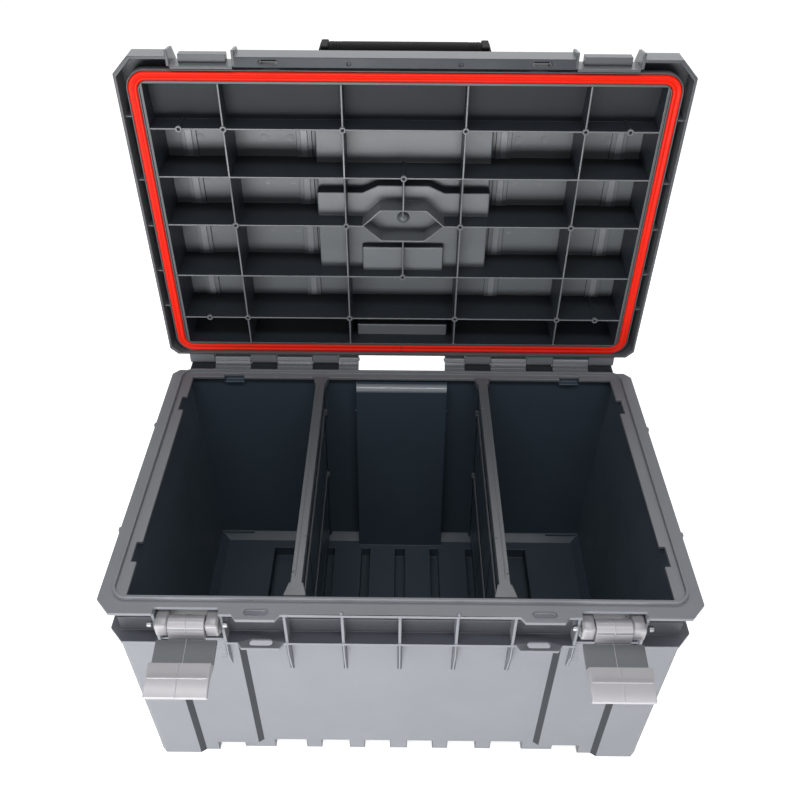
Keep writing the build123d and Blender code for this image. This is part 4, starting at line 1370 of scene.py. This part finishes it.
# The carry handle
@dataclass
class CarryHandle(SubAssembly):
    """The flip-over handle with its soft grip."""

    QUARTERS: ClassVar[tuple[tuple[int, int], ...]] = ((1, 1), (-1, 1), (-1, -1), (1, -1))
    edge_radius: float = 1.6
    grip_tall: float = 22.0
    grip_deep: float = 20.0
    grip_corner: float = 7.0
    corner_steps: int = 5
    groove_count: int = 3
    groove_pitch: float = 3.0
    groove_depth: float = 0.35
    groove_half: float = 0.6
    groove_floor_half: float = 0.2
    collar: float = 5.0
    tuck: float = 1.0
    tuck_share: float = 0.95
    end_chamfer: float = 0.4
    lean: float = 3.8

    def outline(self) -> list[tuple[float, float]]:
        """The sleeve's cut face, upright.

        Returns:
            Distances back and up from the sleeve's middle, in millimetres.
        """
        radius = self.grip_corner
        deep, tall = self.grip_deep / 2 - radius, self.grip_tall / 2 - radius
        points = []
        for quarter, (sy, sz) in enumerate(self.QUARTERS):
            for step in range(self.corner_steps + 1):
                angle = math.radians(90 * quarter + 90 * step / self.corner_steps)
                points.append((sy * deep + radius * math.cos(angle), sz * tall + radius * math.sin(angle)))
        return points

    def stations(self, left: float, right: float) -> list[tuple[float, float]]:
        """Where along the grip the sleeve's cut face is drawn in, and how far.

        Args:
            left: the grip's left end on X, in millimetres.
            right: its right end.

        Returns:
            Places on X with the share of the full size.
        """
        drawn = 1 - self.groove_depth / (self.grip_deep / 2)
        half, floor_half = self.groove_half, self.groove_floor_half
        grooves = [left + self.collar + index * self.groove_pitch for index in range(self.groove_count)]
        rows = [(left - self.tuck, self.tuck_share), (left + self.end_chamfer, 1.0)]
        for middle in grooves + [left + right - middle for middle in reversed(grooves)]:
            rows += [(middle - half, 1.0), (middle - floor_half, drawn)]
            rows += [(middle + floor_half, drawn), (middle + half, 1.0)]
        return rows + [(right - self.end_chamfer, 1.0), (right + self.tuck, self.tuck_share)]

    def sleeve(self) -> bpy.types.Object:
        """The smooth soft sleeve with a few fine grooves round each end.

        Returns:
            The sleeve.
        """
        low, high = (Vector(corner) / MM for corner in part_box("handle_grip"))
        centre = (low + high) / 2
        lean = math.radians(self.lean)
        rings = []
        for x, share in self.stations(low.x, high.x):
            ring = []
            for y, z in self.outline():
                turned_y = y * math.cos(lean) + z * math.sin(lean)
                turned_z = z * math.cos(lean) - y * math.sin(lean)
                ring.append(Vector((x, centre.y + turned_y * share, centre.z + turned_z * share)))
            rings.append(ring)
        shape = bmesh.new()
        swept(shape, rings)
        return finished("handle_sleeve", shape)

    def build(self) -> None:
        """Frame with soft edges, grooved sleeve, steel pins."""
        bail = softened("handle_frame", "handle_bail", self.edge_radius)
        place(paint(bail, [HANDLE_NYLON]), "handle", Slot.HANDLE, "handle_frame")
        place(paint(self.sleeve(), [SOFT_GRIP]), "handle", Slot.GRIP, "handle_grip")
        for side in Side:
            paint(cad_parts[f"handle_pin_{side.word}"], [PIN_STEEL])


# The studio
@dataclass(frozen=True)
class Softbox:
    """A large soft lamp: its place, aim and size in metres, and its power in watts."""

    name: str
    spot: tuple[float, float, float]
    aim: tuple[float, float, float]
    size: tuple[float, float]
    watts: float

    def build(self) -> None:
        """Hangs the lamp and turns it to its aim."""
        lamp = bpy.data.lights.new(self.name, "AREA")
        lamp.shape = "RECTANGLE"
        lamp.size, lamp.size_y = self.size
        lamp.energy = self.watts
        obj = link(bpy.data.objects.new(self.name, lamp))
        obj.location = self.spot
        obj.rotation_euler = (Vector(self.aim) - Vector(self.spot)).to_track_quat("-Z", "Y").to_euler()


@dataclass
class Studio:
    """Camera, floor, world and lamps."""

    SOFTBOXES: ClassVar[tuple[Softbox, ...]] = (
        Softbox(
            "front_softbox", spot=(-0.25, -1.25, 0.18), aim=(0.0, 0.0, 0.22), size=(1.4, 0.3), watts=16.0),
        Softbox(
            "top_softbox", spot=(0.0, 1.1, 2.2), aim=(0.0, 0.0, 0.3), size=(1.6, 0.9), watts=16.0),
        Softbox(
            "strip_softbox", spot=(-0.1, -0.75, 2.1), aim=(0.0, -0.2, 0.3), size=(2.2, 0.16), watts=12.0))
    FLOOR_CORNERS: ClassVar[tuple[tuple[int, int], ...]] = ((-1, -1), (1, -1), (1, 1), (-1, 1))
    eye: tuple[float, float, float] = (-2.5, -656.0, 962.2)
    pitch: float = 39.66
    yaw: float = -0.26
    roll: float = -0.345
    sensor_mm: float = 36.0
    focal_px: float = 839.2
    centre_px: tuple[float, float] = (396.7, 378.4)
    image_px: float = 800.0
    floor_half: float = 9000.0
    floor_drop: float = 0.2
    ambient: float = 0.2

    def camera(self) -> None:
        """The photograph's camera."""
        data = bpy.data.cameras.new("photo_camera")
        data.sensor_width = self.sensor_mm
        data.lens = self.focal_px * data.sensor_width / self.image_px
        data.shift_x = 0.5 - self.centre_px[0] / self.image_px
        data.shift_y = self.centre_px[1] / self.image_px - 0.5
        pitch, yaw, roll = (math.radians(a) for a in (self.pitch, self.yaw, self.roll))
        ahead = Vector((math.sin(yaw) * math.cos(pitch), math.cos(yaw) * math.cos(pitch), -math.sin(pitch)))
        level = Vector((math.cos(yaw), -math.sin(yaw), 0))
        down = ahead.cross(level)
        right = level * math.cos(roll) + down * math.sin(roll)
        down = down * math.cos(roll) - level * math.sin(roll)
        turn = Matrix((right, -down, -ahead)).transposed()
        obj = link(bpy.data.objects.new("photo_camera", data))
        obj.matrix_world = Matrix.Translation(Vector(self.eye) * MM) @ turn.to_4x4()
        bpy.context.scene.camera = obj

    def floor(self) -> None:
        """A pale floor under the feet."""
        shape = bmesh.new()
        half, low = self.floor_half * MM, -self.floor_drop * MM
        shape.faces.new([shape.verts.new((x * half, y * half, low)) for x, y in self.FLOOR_CORNERS])
        paint(mesh_object("studio_floor", shape), [FLOOR])

    def world(self) -> None:
        """An even pale surround, white to the camera."""
        world = bpy.data.worlds.new("studio_world")
        world.use_nodes = True
        tree = world.node_tree
        strength = add(tree, "ShaderNodeMapRange", {
            "Value": seen_directly(tree), "To Min": self.ambient, "To Max": 1.0})
        back = tree.nodes["Background"]
        back.inputs["Color"].default_value = linear(WHITE)
        tree.links.new(strength.outputs["Result"], back.inputs["Strength"])
        bpy.context.scene.world = world

    def build(self) -> None:
        """Sets up the studio."""
        bpy.context.scene.view_settings.view_transform = "Standard"
        self.camera()
        self.floor()
        self.world()
        for softbox in self.SOFTBOXES:
            softbox.build()


def main() -> None:
    """Builds the case and its studio."""
    logging.basicConfig(level=logging.INFO, format="%(name)s: %(message)s")
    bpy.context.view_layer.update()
    groups: list[SubAssembly] = [CaseBase(), CaseLid(), LidSeal(), CarryHandle()]
    for side in Side:
        groups += [Divider(side), Latch(side), Hinge(side)]
    for group in groups:
        group.build()
        LOG.info("%s built", type(group).__name__)
    Studio().build()


if __name__ == "__main__":
    main()
